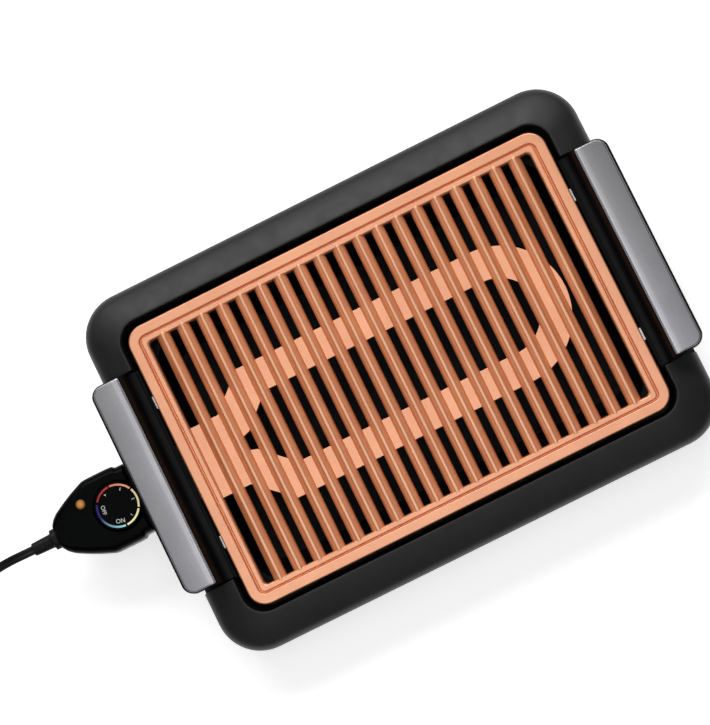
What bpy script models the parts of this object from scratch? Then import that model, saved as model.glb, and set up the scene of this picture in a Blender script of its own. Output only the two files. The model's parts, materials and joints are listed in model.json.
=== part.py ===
"""Smokeless indoor grill: a moulded base with a lift-out drip tray, a slotted cast plate with its element
and stay-cool handles, and a plug-in temperature controller on its own lead.

Metres, +Z up, long side along X."""

import math

import bmesh
import bpy
from mathutils import Matrix, Vector
from mathutils.bvhtree import BVHTree

MM = 0.001

# Clearances that every fit below shares
SEAT_GAP = 0.3 * MM
RUN_GAP = 0.5 * MM
OVERRUN = 2 * MM
MERGE = 0.01 * MM

# Grill plate: a rounded casting, highest at its rim
PLATE_LENGTH = 430 * MM
PLATE_WIDTH = 286 * MM
PLATE_CORNER = 17 * MM
PLATE_TOP_Z = 70 * MM
RIM_BAND = 10 * MM
RIM_LIP_DEPTH = 5.5 * MM
GROOVE_DEPTH = 2.6 * MM
LEDGE_WIDTH = 8 * MM
LEDGE_DEPTH = 8.5 * MM

# Bars of the plate: gabled ridges with bullet noses on the ledge
BAR_COUNT = 19
BAR_END_INSET = 33.2 * MM
BAR_WIDTH = 13 * MM
BAR_DEPTH = 9.2 * MM
BAR_NOSE = 8 * MM
BAR_NOSE_DEPTH = 5 * MM
BAR_TIP_GAP = 1 * MM
BAR_HALF_WIDTH_SHARES = ((1, 1), (0.97, 0.55), (0.3, 0.05), (0.14, 0))
BAR_NOSE_SHARES = ((0, 0.42, 0.5), (0.35, 0.8, 0.14), (1, 1, 0))

# Web that holds the element: a flat band in the shape of a U, under the ridges
WEB_TOP_DEPTH = 5.2 * MM
WEB_BOTTOM_DEPTH = 12 * MM
WEB_WIDTH = 30 * MM
WEB_RADIUS = 51.5 * MM
WEB_BEND_INSET = 109 * MM
WEB_PAD_HALF_WIDTH = 35.7 * MM
WEB_PAD_LENGTH = 32 * MM
WEB_SPLAY_LENGTH = 34 * MM
WEB_FORK_REACH = 7 * MM
WEB_FORK_HALF_WIDTH = 5 * MM
WEB_KNEE_REACH = 20 * MM
WEB_KNEE_HALF_WIDTH = 9 * MM

# Heating element, cast half into the web, its cold ends, and the socket for the controller
ELEMENT_DIAMETER = 6.8 * MM
ELEMENT_DEPTH = 11.6 * MM
ELEMENT_END_SPACING = 34 * MM
ELEMENT_END_REACH = 4 * MM
PIN_DIAMETER = 6 * MM
PIN_LENGTH = 42 * MM
INSULATOR_DIAMETER = 10.6 * MM
INSULATOR_LENGTH = 3.6 * MM
PROBE_DIAMETER = 6 * MM
PROBE_DEPTH_IN_PLATE = 44 * MM
BOSS_HALF_WIDTH = 25.5 * MM
BOSS_LENGTH = 50 * MM
BOSS_BELOW_ELEMENT = 5.4 * MM
BOSS_ABOVE_ELEMENT = 4.2 * MM
GUARD_WALL = 1 * MM
GUARD_LENGTH = 31 * MM
GUARD_HALF_WIDTH = 27.5 * MM
GUARD_HALF_HEIGHT = 7.2 * MM

# Base housing: gap round the plate, convex rim band, tapering skirt, sunk well
PLATE_GAP = 6.4 * MM
RIM_WIDTH = 31.8 * MM
RIM_RISE = 5 * MM
RIM_FALL = 23 * MM
BASE_CORNER = 42 * MM
OPENING_CORNER = 22 * MM
SKIRT_Z = 6 * MM
SKIRT_DRAW_IN = 13 * MM
WELL_FLOOR_Z = 13 * MM
WELL_DRAFT = 5 * MM
BASE_WALL = 3 * MM
RIM_SHARES = (
    (-0.1, 0.86), (0, 0.97), (0.06, 1), (0.2, 0.985), (0.45, 0.88), (0.7, 0.68), (0.88, 0.42), (0.97, 0.2),
)
SKIRT_SHARES = ((0, 1), (0.06, 0.8), (0.3, 0.42), (0.68, 0.1), (1, 0))
CAVITY_RIM_SHARES = ((0.86, 0.3), (0.7, 0.54), (0.45, 0.74), (0.2, 0.85))
REST_THICKNESS = 6 * MM
REST_UNDER_PLATE = 7 * MM
REST_EDGE_INSET = 1 * MM
REST_FALL = 20 * MM
REST_LONG_SHARES = (-0.35, 0, 0.35)
REST_END_SHARE = 0.41

# Feet
FOOT_DIAMETER = 24 * MM
FOOT_STUD_DIAMETER = 8 * MM
FOOT_STUD_LENGTH = 3.6 * MM
FOOT_INSET_X = 62.8 * MM
FOOT_INSET_Y = 58.8 * MM
FOOT_BOSS_DIAMETER = 30 * MM

# Drip tray, pressed from sheet
TRAY_SHEET = 1.2 * MM
TRAY_INSET_X = 33.4 * MM
TRAY_INSET_Y = 41.4 * MM
TRAY_CORNER = 20 * MM
TRAY_FLARE_X = 13 * MM
TRAY_FLARE_Y = 20 * MM
TRAY_HEIGHT = 28 * MM
TRAY_FLANGE = 5 * MM
TRAY_BEND = 4 * MM

# Handles: a scooped body on stainless brackets, a glossy cap on its flat top
HANDLE_GAP = 2.6 * MM
HANDLE_LENGTH = 212 * MM
HANDLE_REACH = 47.2 * MM
HANDLE_RISE = 21.4 * MM
HANDLE_CORNER = 12 * MM
HANDLE_LIP_WIDTH = 7.4 * MM
HANDLE_LIP_BELOW_TOP = 4 * MM
HANDLE_LIP_THICKNESS = 2.4 * MM
HANDLE_LEG = 3.5 * MM
HANDLE_FOOT_Z = 47.3 * MM
HANDLE_SKIRT_DEPTH = 9 * MM
HANDLE_WALL = 3 * MM
SCOOP_WIDTH = 11 * MM
SCOOP_SHARES = ((0.22, 0.05), (0.36, 0.28), (0.5, 0.55), (0.68, 0.82), (0.86, 0.96))
LIP_RIDGE_SHARES = ((0, 0.8), (0.25, 1.1), (0.6, 0.95))
CAP_THICKNESS = 2.5 * MM
CAP_EDGE = 1 * MM
CAP_INSET = 2.2 * MM
BRACKET_WIDTH = 12 * MM
BRACKET_SHEET = 1.5 * MM
BRACKET_UNDER_PLATE = 9 * MM
BRACKET_LEG = 13 * MM
BRACKET_SPREAD = 144 * MM
BRACKET_SCREW_DIAMETER = 3 * MM
BRACKET_SCREW_HEAD = 6.4 * MM
BRACKET_SCREW_HEAD_HEIGHT = 2 * MM

# Notches in the base's short sides, where the handles drop in
NOTCH_GAP = 2 * MM
NOTCH_FLOOR_Z = 44 * MM
NOTCH_CORNER = 5 * MM

# Controller: two shells round a nose block, with its outline tapering to the lead
SOCKET_REACH = 53 * MM
CONTROLLER_LENGTH = 84.5 * MM
CONTROLLER_WIDTH = 74.5 * MM
CONTROLLER_ABOVE = 16.6 * MM
CONTROLLER_BELOW = 17 * MM
CONTROLLER_WALL = 2.2 * MM
CONTROLLER_EDGE = 7 * MM
CONTROLLER_OUTLINE_SHARES = (
    (0, 0.926), (0.1, 0.93), (0.125, 0.99), (0.2, 1), (0.46, 1), (0.5, 0.985), (0.545, 0.945),
    (0.65, 0.846), (0.757, 0.73), (0.85, 0.615), (0.896, 0.556), (0.953, 0.446), (0.985, 0.345), (1, 0.28),
)
SHELL_EDGE_SHARES = ((0, 0), (0.5, 0.04), (0.76, 0.2), (0.93, 0.56), (1, 1))
SHELL_INNER_SHARES = ((0, 0), (0.75, 0.15), (1, 1))
NOSE_INSET = 2.75 * MM
NOSE_HALF_HEIGHT = 10 * MM
NOSE_DEPTH = 18 * MM
NOSE_EDGE = 2.4 * MM
TONGUE_LENGTH = 17 * MM
TONGUE_HALF_HEIGHT = 5.2 * MM
TENON_LENGTH = 8 * MM
TENON_INSET = 7.25 * MM
TENON_HALF_HEIGHT = 8 * MM
SLEEVE_WALL = 1 * MM
SLEEVE_LENGTH = 30 * MM

# Inside the controller
SWITCH_LAMP_GAP = 3 * MM
SWITCH_WIDTH = 40 * MM
SWITCH_HEIGHT = 11 * MM
SHAFT_DIAMETER = 6 * MM
LENS_DIAMETER = 9 * MM
LENS_FLANGE = 1.4 * MM
LENS_DOME = 1.1 * MM
LENS_BACK_SHARE = 0.599
LENS_ASIDE_SHARE = 0.456
LAMP_DIAMETER = 6 * MM
LAMP_LENGTH = 9 * MM
SHELL_SCREW_DIAMETER = 3 * MM
SHELL_SCREW_HEAD = 6 * MM
SHELL_SCREW_HEAD_HEIGHT = 2.2 * MM
SHELL_POST_DIAMETER = 9 * MM
SHELL_SCREW_BACK_SHARE = 0.8
SHELL_SCREW_ASIDE = 9 * MM
SHELL_SCREW_ENGAGEMENT = 9 * MM

# Dial
DIAL_BACK_SHARE = 0.2272
DIAL_DIAMETER = 48 * MM
DIAL_HEIGHT = 5.6 * MM
DIAL_TOP_DIAMETER = 44.4 * MM
DIAL_RECESS = 1.2 * MM
DIAL_DISH = 0.5 * MM
DIAL_RIM = 1.4 * MM

# Lead: strain relief, flat twin cord, coil and plug
RELIEF_COLLAR_WIDTH = 20 * MM
RELIEF_COLLAR_HEIGHT = 14 * MM
RELIEF_COLLAR_LENGTH = 5.6 * MM
RELIEF_NECK_DIAMETER = 11 * MM
RELIEF_NECK_LENGTH = 8 * MM
RELIEF_SLEEVE_LENGTH = 20.4 * MM
RELIEF_SLEEVE_WIDTH = 13.6 * MM
RELIEF_SLEEVE_HEIGHT = 9.6 * MM
RELIEF_SHARES = ((0, 1.06, 1.1), (0.12, 1, 1), (0.6, 0.96, 0.88), (1, 0.9, 0.76))
CORD_WIDTH = 8.6 * MM
CORD_THICKNESS = 4.6 * MM
CORD_SHARES = (
    (1, 0.32), (0.74, 1), (-0.74, 1), (-1, 0.32), (-1, -0.32), (-0.74, -1), (0.74, -1), (1, -0.32),
)
CORD_ROUTE = (
    (-379.1, 0, 58.4), (-390.4, 0.2, 58.3), (-402.4, 0.5, 56.3), (-414.4, 0.4, 51.2), (-424.9, -0.3, 43.8),
    (-434.4, -1.5, 34.6), (-443.4, -3.1, 25.4), (-452.9, -5, 16.8), (-463.4, -7, 9.8), (-474.9, -8.5, 5.2),
    (-486.4, -9.4, 3), (-496.4, -9.9, 2.6), (-505.4, -10, 2.6), (-512.4, -10, 2.6),
)
CORD_STEPS_PER_SPAN = 3
COIL_RADIUS = 45 * MM
COIL_LAYER = 5.6 * MM
COIL_TURNS = 2.5
COIL_CLIMB_SHARES = (0.625, 0.875)
COIL_STEPS_PER_TURN = 24
COIL_TAIL = 52 * MM
COIL_TAIL_SHARES = ((0.2, 0), (0.45, 0), (0.62, 0.2), (0.82, 0.8), (1, 1))
PLUG_WIDTH = 26 * MM
PLUG_THICKNESS = 19 * MM
PLUG_LENGTH = 34 * MM
PLUG_NECK_LENGTH = 14 * MM
BLADE_LENGTH = 17 * MM
BLADE_WIDTH = 6.4 * MM
BLADE_THICKNESS = 1.5 * MM
BLADE_SPACING = 12.7 * MM
BLADE_SUNK = 6 * MM
PLUG_SHARES = ((0, 0.42, 0.52), (0.2, 0.5, 0.62), (0.4, 0.8, 0.86), (0.6, 1, 1), (0.93, 1, 1), (1, 0.93, 0.9))

# Facets
CORNER_STEPS = 5
KNOB_SIDES = 32
ROUND_SIDES = 20
SMALL_SIDES = 12
EDGE_SEGMENTS = 2

# Places that follow from the sizes above
ELEMENT_Z = PLATE_TOP_Z - ELEMENT_DEPTH
BAR_PITCH = (PLATE_LENGTH - 2 * BAR_END_INSET) / (BAR_COUNT - 1)
WEB_BEND_X = PLATE_LENGTH / 2 - WEB_BEND_INSET
RIM_CREST_Z = PLATE_TOP_Z + RIM_RISE
RIM_FOOT_Z = RIM_CREST_Z - RIM_FALL
OPENING_HALF_X = PLATE_LENGTH / 2 + PLATE_GAP
OPENING_HALF_Y = PLATE_WIDTH / 2 + PLATE_GAP
HANDLE_INNER_X = PLATE_LENGTH / 2 + HANDLE_GAP
HANDLE_OUTER_X = HANDLE_INNER_X + HANDLE_REACH
CAP_SEAT_Z = PLATE_TOP_Z + HANDLE_RISE
NOSE_X = PLATE_LENGTH / 2 + SOCKET_REACH
CONTROLLER_END_X = NOSE_X + CONTROLLER_LENGTH
DIAL_X = NOSE_X + DIAL_BACK_SHARE * CONTROLLER_LENGTH
TENON_HALF_WIDTH = CONTROLLER_WIDTH / 2 - TENON_INSET
LENS_X = NOSE_X + LENS_BACK_SHARE * CONTROLLER_LENGTH
SWITCH_END_X = LENS_X - LAMP_DIAMETER / 2 - SWITCH_LAMP_GAP
CENTRE_SHIFT = (CONTROLLER_END_X - HANDLE_OUTER_X) / 2


def clear_scene():
    for old in list(bpy.data.objects):
        bpy.data.objects.remove(old)


def collection(name, hidden=False):
    made = bpy.data.collections.new(name)
    made.hide_render = hidden
    bpy.context.scene.collection.children.link(made)
    return made


def empty(name, parent=None, place=(0, 0, 0)):
    """A frame that a body's pieces hang from, with its origin on the body's joint axis."""
    made = bpy.data.objects.new(name, None)
    PARTS.objects.link(made)
    made.location = place
    made.parent = parent
    return made


def material(name, color, roughness, metallic=0.0, alpha=1.0):
    made = bpy.data.materials.new(name)
    made.use_nodes = True
    shader = made.node_tree.nodes["Principled BSDF"]
    shader.inputs["Base Color"].default_value = (*color, 1)
    shader.inputs["Roughness"].default_value = roughness
    shader.inputs["Metallic"].default_value = metallic
    shader.inputs["Alpha"].default_value = alpha
    return made


def placed(made, parent, surface):
    """Hangs a new object in its body, among the parts, or among the cutters when it has no surface."""
    for old in list(made.users_collection):
        old.objects.unlink(made)
    if surface is None:
        CUTTERS.objects.link(made)
        made.hide_render = True
        made.display_type = "WIRE"
    else:
        PARTS.objects.link(made)
        if surface not in list(made.data.materials):
            made.data.materials.append(surface)
    made.parent = parent
    return made


def from_bmesh(name, bm, parent, surface):
    bmesh.ops.recalc_face_normals(bm, faces=bm.faces)
    mesh = bpy.data.meshes.new(name)
    bm.to_mesh(mesh)
    bm.free()
    mesh.shade_smooth()
    mesh.set_sharp_from_angle(angle=math.radians(35))
    return placed(bpy.data.objects.new(name, mesh), parent, surface)


def add_loft(bm, rings, closed=False):
    """Faces between rings of points, which are capped at both ends or closed on themselves."""
    rows = [[bm.verts.new(point) for point in ring] for ring in rings]
    pairs = list(zip(rows, rows[1:]))
    if closed:
        pairs.append((rows[-1], rows[0]))
    else:
        bm.faces.new(rows[0])
        bm.faces.new(rows[-1])
    for low, high in pairs:
        for i in range(len(low)):
            j = (i + 1) % len(low)
            bm.faces.new((low[i], low[j], high[j], high[i]))


def loft(name, rings, parent, surface, closed=False):
    bm = bmesh.new()
    add_loft(bm, rings, closed)
    return from_bmesh(name, bm, parent, surface)


def rectangle_ring(half_x, half_y, radius, z):
    """Points round a rectangle with rounded corners, at one height."""
    ring = []
    for quarter, (sx, sy) in enumerate(((1, 1), (-1, 1), (-1, -1), (1, -1))):
        for step in range(CORNER_STEPS + 1):
            angle = math.pi / 2 * (quarter + step / CORNER_STEPS)
            x = sx * (half_x - radius) + radius * math.cos(angle)
            y = sy * (half_y - radius) + radius * math.sin(angle)
            ring.append(Vector((x, y, z)))
    return ring


def block(name, low, high, parent, surface, edge=0.0):
    """A box between two corners, its edges rounded if edge is given."""
    low, high = Vector(low), Vector(high)
    matrix = Matrix.Translation((low + high) / 2) @ Matrix.Diagonal((*(high - low), 1))
    bm = bmesh.new()
    bmesh.ops.create_cube(bm, size=1, matrix=matrix)
    if edge:
        bmesh.ops.bevel(
            bm, geom=bm.edges[:], offset=edge, segments=EDGE_SEGMENTS, profile=0.5, affect="EDGES"
        )
    return from_bmesh(name, bm, parent, surface)


def rod(name, start, end, diameter, parent, surface, sides=ROUND_SIDES):
    """A round bar between two points."""
    start, end = Vector(start), Vector(end)
    turn = (end - start).to_track_quat("Z", "Y").to_matrix().to_4x4()
    bm = bmesh.new()
    bmesh.ops.create_cone(
        bm, cap_ends=True, segments=sides, radius1=diameter / 2, radius2=diameter / 2,
        depth=(end - start).length, matrix=Matrix.Translation((start + end) / 2) @ turn,
    )
    return from_bmesh(name, bm, parent, surface)


def turned(name, profile, parent, surface, sides=ROUND_SIDES, place=(0, 0, 0), turn=(0, 0, 0)):
    """A profile of (radius, height), listed from top to bottom of its outer side, swept round its axis."""
    mesh = bpy.data.meshes.new(name)
    points = [(radius, 0, height) for radius, height in profile]
    mesh.from_pydata(points, [(i, i + 1) for i in range(len(points) - 1)], [])
    made = placed(bpy.data.objects.new(name, mesh), parent, surface)
    made.location = place
    made.rotation_euler = turn
    sweep = made.modifiers.new("sweep", "SCREW")
    sweep.steps = sides
    sweep.render_steps = sides
    sweep.use_merge_vertices = True
    sweep.merge_threshold = MERGE
    sweep.use_smooth_shade = True
    return made


def flat_curve(name, outlines, thickness):
    """A 2D curve through closed outlines, the later ones holes in the first, extruded to a thickness."""
    curve = bpy.data.curves.new(name, "CURVE")
    curve.dimensions = "2D"
    curve.fill_mode = "BOTH"
    curve.extrude = thickness / 2
    for outline in outlines:
        spline = curve.splines.new("POLY")
        spline.points.add(len(outline) - 1)
        for point, (x, y) in zip(spline.points, outline):
            point.co = (x, y, 0, 1)
        spline.use_cyclic_u = True
    return bpy.data.objects.new(name, curve)


def meshed(made, matrix, parent, surface):
    """A curve turned into a closed mesh, so that it can be cut or joined."""
    bpy.context.scene.collection.objects.link(made)
    bpy.context.view_layer.update()
    graph = bpy.context.evaluated_depsgraph_get()
    mesh = bpy.data.meshes.new_from_object(made.evaluated_get(graph))
    name = made.name
    bpy.data.objects.remove(made)
    bm = bmesh.new()
    bm.from_mesh(mesh)
    bpy.data.meshes.remove(mesh)
    bmesh.ops.remove_doubles(bm, verts=bm.verts, dist=MERGE)
    bmesh.ops.transform(bm, matrix=matrix, verts=bm.verts)
    return from_bmesh(name, bm, parent, surface)


def plan_solid(name, outlines, low_z, high_z, parent, surface):
    """A flat outline seen from above, standing between two heights."""
    lift = Matrix.Translation((0, 0, (low_z + high_z) / 2))
    return meshed(flat_curve(name, outlines, high_z - low_z), lift, parent, surface)


def section_solid(name, outline, half_length, parent, surface):
    """An outline of (x, z) points, run along Y to half_length on both sides."""
    stand = Matrix.Rotation(math.pi / 2, 4, "X")
    return meshed(flat_curve(name, [outline], 2 * half_length), stand, parent, surface)


def tube(name, points, diameter, parent, surface, resolution=2):
    """A round tube along a line of points."""
    curve = bpy.data.curves.new(name, "CURVE")
    curve.dimensions = "3D"
    curve.bevel_depth = diameter / 2
    curve.bevel_resolution = resolution
    curve.use_fill_caps = True
    spline = curve.splines.new("POLY")
    spline.points.add(len(points) - 1)
    for point, place in zip(spline.points, points):
        point.co = (*place, 1)
    return meshed(bpy.data.objects.new(name, curve), Matrix(), parent, surface)


def combine(target, other, operation="DIFFERENCE"):
    step = target.modifiers.new(f"{operation.lower()} {other.name}", "BOOLEAN")
    step.operation = operation
    step.object = other
    step.solver = "EXACT"


def mirrored_x(points):
    return [(-x, z) for x, z in points]


def arc(centre, radius, start, end, steps):
    """Points along an arc in a plane, angles in degrees."""
    turns = [math.radians(start + (end - start) * i / steps) for i in range(steps + 1)]
    return [(centre[0] + radius * math.cos(a), centre[1] + radius * math.sin(a)) for a in turns]


def rim_height(share):
    return RIM_FOOT_Z + share * RIM_FALL


def base_ring(offset, z):
    """The base's outline at an offset out from its opening: the corner grows with it."""
    growth = (BASE_CORNER - OPENING_CORNER) / RIM_WIDTH if offset > 0 else 1
    radius = OPENING_CORNER + offset * growth
    return rectangle_ring(OPENING_HALF_X + offset, OPENING_HALF_Y + offset, radius, z)


def skirt_stations(inset=0.0):
    """Offsets and heights up the outer wall, from the skirt's edge to the widest outline."""
    return [
        (RIM_WIDTH - SKIRT_DRAW_IN * draw - inset, SKIRT_Z + (RIM_FOOT_Z - SKIRT_Z) * rise)
        for rise, draw in SKIRT_SHARES
    ]


def notch_outline(growth):
    """The side of a notch, seen along X: its lower corners are rounded."""
    half = HANDLE_LENGTH / 2 + NOTCH_GAP + growth
    floor = NOTCH_FLOOR_Z - growth
    radius = NOTCH_CORNER + growth
    top = RIM_CREST_Z + OVERRUN
    left = arc((-half + radius, floor + radius), radius, 180, 270, CORNER_STEPS)
    right = arc((half - radius, floor + radius), radius, 270, 360, CORNER_STEPS)
    return [(half, top), (-half, top)] + left + right


def notch(name, side, growth):
    inner = PLATE_LENGTH / 2 - OVERRUN - growth
    outer = OPENING_HALF_X + RIM_WIDTH + OVERRUN
    stand = Matrix.Rotation(math.pi / 2, 4, "Z") @ Matrix.Rotation(math.pi / 2, 4, "X")
    shift = Matrix.Translation((side * (inner + outer) / 2, 0, 0))
    return meshed(flat_curve(name, [notch_outline(growth)], outer - inner), shift @ stand, BASE, None)


def foot_places():
    half_x = OPENING_HALF_X + RIM_WIDTH - FOOT_INSET_X
    half_y = OPENING_HALF_Y + RIM_WIDTH - FOOT_INSET_Y
    return [(sx * half_x, sy * half_y) for sx in (-1, 1) for sy in (-1, 1)]


def base_cavity():
    """The hollow under the base, open below, round the notches' walls and the foot bosses."""
    outer = skirt_stations(BASE_WALL)
    rim = [(RIM_WIDTH * share, rim_height(height)) for share, height in CAVITY_RIM_SHARES]
    well_top = (BASE_WALL, rim_height(CAVITY_RIM_SHARES[-1][1]))
    well_foot = (BASE_WALL - WELL_DRAFT, WELL_FLOOR_Z - BASE_WALL)
    below = SKIRT_Z - OVERRUN
    path = [(outer[0][0], below)] + outer + rim + [well_top, well_foot, (well_foot[0], below)]
    hollow = loft("base_hollow", [base_ring(*station) for station in path], BASE, None, closed=True)
    under = base_ring(well_foot[0] + OVERRUN, 0)
    low = [Vector((p.x, p.y, below)) for p in under]
    high = [Vector((p.x, p.y, WELL_FLOOR_Z - BASE_WALL)) for p in under]
    combine(hollow, loft("under_floor", [low, high], BASE, None), "UNION")
    for side in (-1, 1):
        combine(hollow, notch(f"notch_wall_{side}", side, BASE_WALL))
    for number, (x, y) in enumerate(foot_places()):
        start, end = (x, y, below - OVERRUN), (x, y, WELL_FLOOR_Z)
        combine(hollow, rod(f"foot_boss_{number}", start, end, FOOT_BOSS_DIAMETER, BASE, None))
    return hollow


def plate_rests():
    """Upright ribs on the wall of the well: the plate's lip rests on them, and they fall away beside it."""
    top = PLATE_TOP_Z - RIM_LIP_DEPTH - SEAT_GAP
    low = WELL_FLOOR_Z - BASE_WALL / 2
    bm = bmesh.new()
    half_x, half_y = PLATE_LENGTH / 2, PLATE_WIDTH / 2
    spots = [(half_y, OPENING_HALF_Y, math.pi / 2, PLATE_LENGTH * share) for share in REST_LONG_SHARES]
    for share in (-REST_END_SHARE, REST_END_SHARE):
        spots.append((half_x, OPENING_HALF_X, 0, PLATE_WIDTH * share))
    for half, opening, turn, along in spots:
        inside, edge, outside = half - REST_UNDER_PLATE, half - REST_EDGE_INSET, opening + BASE_WALL / 2
        section = [(inside, low), (inside, top), (edge, top), (outside, top - REST_FALL), (outside, low)]
        for opposite in (0, math.pi):
            place = Matrix.Rotation(turn + opposite, 4, "Z")
            faces = (along - REST_THICKNESS / 2, along + REST_THICKNESS / 2)
            add_loft(bm, [[place @ Vector((x, y, z)) for x, z in section] for y in faces])
    return from_bmesh("plate_rests", bm, BASE, None)


def base_housing():
    rim = [(RIM_WIDTH * share, rim_height(height)) for share, height in reversed(RIM_SHARES)]
    body = loft("base_housing", [base_ring(*s) for s in skirt_stations() + rim], BASE, SATIN_BLACK)
    well = [
        (-WELL_DRAFT - BASE_WALL, WELL_FLOOR_Z), (-WELL_DRAFT, WELL_FLOOR_Z + BASE_WALL),
        (0, rim_height(RIM_SHARES[1][1])), (0, RIM_CREST_Z + OVERRUN),
    ]
    combine(body, loft("well", [base_ring(*station) for station in well], BASE, None))
    combine(body, plate_rests(), "UNION")
    combine(body, base_cavity())
    for side in (-1, 1):
        combine(body, notch(f"notch_{side}", side, 0))
    for number, (x, y) in enumerate(foot_places()):
        bore = FOOT_STUD_DIAMETER + 2 * SEAT_GAP
        end = (x, y, SKIRT_Z + FOOT_STUD_LENGTH + SEAT_GAP)
        combine(body, rod(f"foot_bore_{number}", (x, y, 0), end, bore, BASE, None, SMALL_SIDES))
    return body


def foot(number, x, y):
    top = SKIRT_Z - SEAT_GAP
    outer, stud = FOOT_DIAMETER / 2, FOOT_STUD_DIAMETER / 2
    edge = top / 4
    profile = [
        (0, top + FOOT_STUD_LENGTH), (stud, top + FOOT_STUD_LENGTH), (stud, top), (outer, top),
        (outer, edge), (outer - edge, 0), (0, 0),
    ]
    return turned(f"foot_{number}", profile, BASE, RUBBER, ROUND_SIDES, (x, y, 0))


def drip_tray():
    """A pressed pan: up its outside, round the edge of its flange, and down its inside."""
    low = WELL_FLOOR_Z + SEAT_GAP
    high = low + TRAY_HEIGHT

    def ring(flare, z, inset=0.0):
        half_x = OPENING_HALF_X - TRAY_INSET_X + flare * TRAY_FLARE_X - inset
        half_y = OPENING_HALF_Y - TRAY_INSET_Y + flare * TRAY_FLARE_Y - inset
        return rectangle_ring(half_x, half_y, TRAY_CORNER + flare * TRAY_BEND - inset, z)

    bend = TRAY_BEND
    under = high - TRAY_SHEET
    outside = [ring(0, low, bend), ring(0, low + bend / 4), ring(1, under), ring(1, under, -TRAY_FLANGE)]
    inside = [
        ring(1, high, -TRAY_FLANGE), ring(1, high, TRAY_SHEET),
        ring(0, low + bend / 4 + TRAY_SHEET, TRAY_SHEET), ring(0, low + TRAY_SHEET, bend + TRAY_SHEET),
    ]
    return loft("drip_tray", outside + inside, TRAY, DARK_TRAY)


def plate_frame():
    """The plate's rim: flat band, narrow groove, and the ledge that carries the ends of the bars."""
    ledge = RIM_BAND + LEDGE_WIDTH
    groove = LEDGE_WIDTH / 10
    lip = RIM_LIP_DEPTH
    path = [
        (0, lip), (0, lip / 4), (lip / 10, lip / 12), (lip / 4, 0),
        (RIM_BAND - groove / 4, 0), (RIM_BAND + groove / 8, GROOVE_DEPTH / 5),
        (RIM_BAND + groove / 2, GROOVE_DEPTH), (RIM_BAND + 1.5 * groove, GROOVE_DEPTH),
        (RIM_BAND + 2.2 * groove, GROOVE_DEPTH / 2), (RIM_BAND + 2.8 * groove, GROOVE_DEPTH / 4),
        (RIM_BAND + 6.5 * groove, GROOVE_DEPTH / 4), (ledge - groove / 2, GROOVE_DEPTH),
        (ledge, LEDGE_DEPTH / 2), (ledge, LEDGE_DEPTH),
        (RIM_BAND + 3 * groove, LEDGE_DEPTH), (RIM_BAND + groove, lip),
    ]
    rings = [
        rectangle_ring(
            PLATE_LENGTH / 2 - inset, PLATE_WIDTH / 2 - inset, max(PLATE_CORNER - inset, LEDGE_WIDTH / 2),
            PLATE_TOP_Z - depth,
        )
        for inset, depth in path
    ]
    return loft("grill_plate", rings, PLATE, COPPER, closed=True)


def bar_section(x, y, width_share, top_depth, bottom_depth):
    """Points round one bar: flat below, drawn in like a gable to a narrow ridge on top."""
    right = []
    for half_share, depth_share in BAR_HALF_WIDTH_SHARES:
        depth = top_depth + (bottom_depth - top_depth) * depth_share
        right.append((BAR_WIDTH / 2 * width_share * half_share, depth))
    left = [(-half, depth) for half, depth in reversed(right)]
    return [Vector((x + half, y, PLATE_TOP_Z - depth)) for half, depth in right + left]


def plate_bars():
    bm = bmesh.new()
    tip = PLATE_WIDTH / 2 - RIM_BAND - BAR_TIP_GAP
    for number in range(BAR_COUNT):
        x = (number - (BAR_COUNT - 1) / 2) * BAR_PITCH
        near, far = [], []
        for share, width, drop in BAR_NOSE_SHARES:
            bottom = BAR_NOSE_DEPTH if share < 0.5 else BAR_DEPTH
            near.append(bar_section(x, -tip + BAR_NOSE * share, width, BAR_NOSE_DEPTH * drop, bottom))
            far.append(bar_section(x, tip - BAR_NOSE * share, width, BAR_NOSE_DEPTH * drop, bottom))
        add_loft(bm, near + far[::-1])
    return from_bmesh("plate_bars", bm, PLATE, None)


def plate_web():
    """The U of the element's web, with the pad where its two ends run to the socket."""
    outer, inner = WEB_RADIUS + WEB_WIDTH / 2, WEB_RADIUS - WEB_WIDTH / 2
    start = -PLATE_LENGTH / 2 + RIM_BAND + LEDGE_WIDTH / 2
    pad = start + WEB_PAD_LENGTH
    splay = pad + WEB_SPLAY_LENGTH
    bend = (WEB_BEND_X, 0)
    edge = [(start, -WEB_PAD_HALF_WIDTH), (pad, -WEB_PAD_HALF_WIDTH), (splay, -outer)]
    edge += arc(bend, outer, -90, 90, 2 * CORNER_STEPS)
    edge += [(splay, outer), (pad, WEB_PAD_HALF_WIDTH), (start, WEB_PAD_HALF_WIDTH)]
    fork, knee = pad + WEB_FORK_REACH, pad + WEB_KNEE_REACH
    hole = [(fork, -WEB_FORK_HALF_WIDTH), (knee, -WEB_KNEE_HALF_WIDTH), (splay + WEB_WIDTH / 2, -inner)]
    hole += arc(bend, inner, -90, 90, 2 * CORNER_STEPS)
    hole += [(splay + WEB_WIDTH / 2, inner), (knee, WEB_KNEE_HALF_WIDTH), (fork, WEB_FORK_HALF_WIDTH)]
    return plan_solid(
        "plate_web", [edge, hole], PLATE_TOP_Z - WEB_BOTTOM_DEPTH, PLATE_TOP_Z - WEB_TOP_DEPTH, PLATE, None
    )


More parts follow.
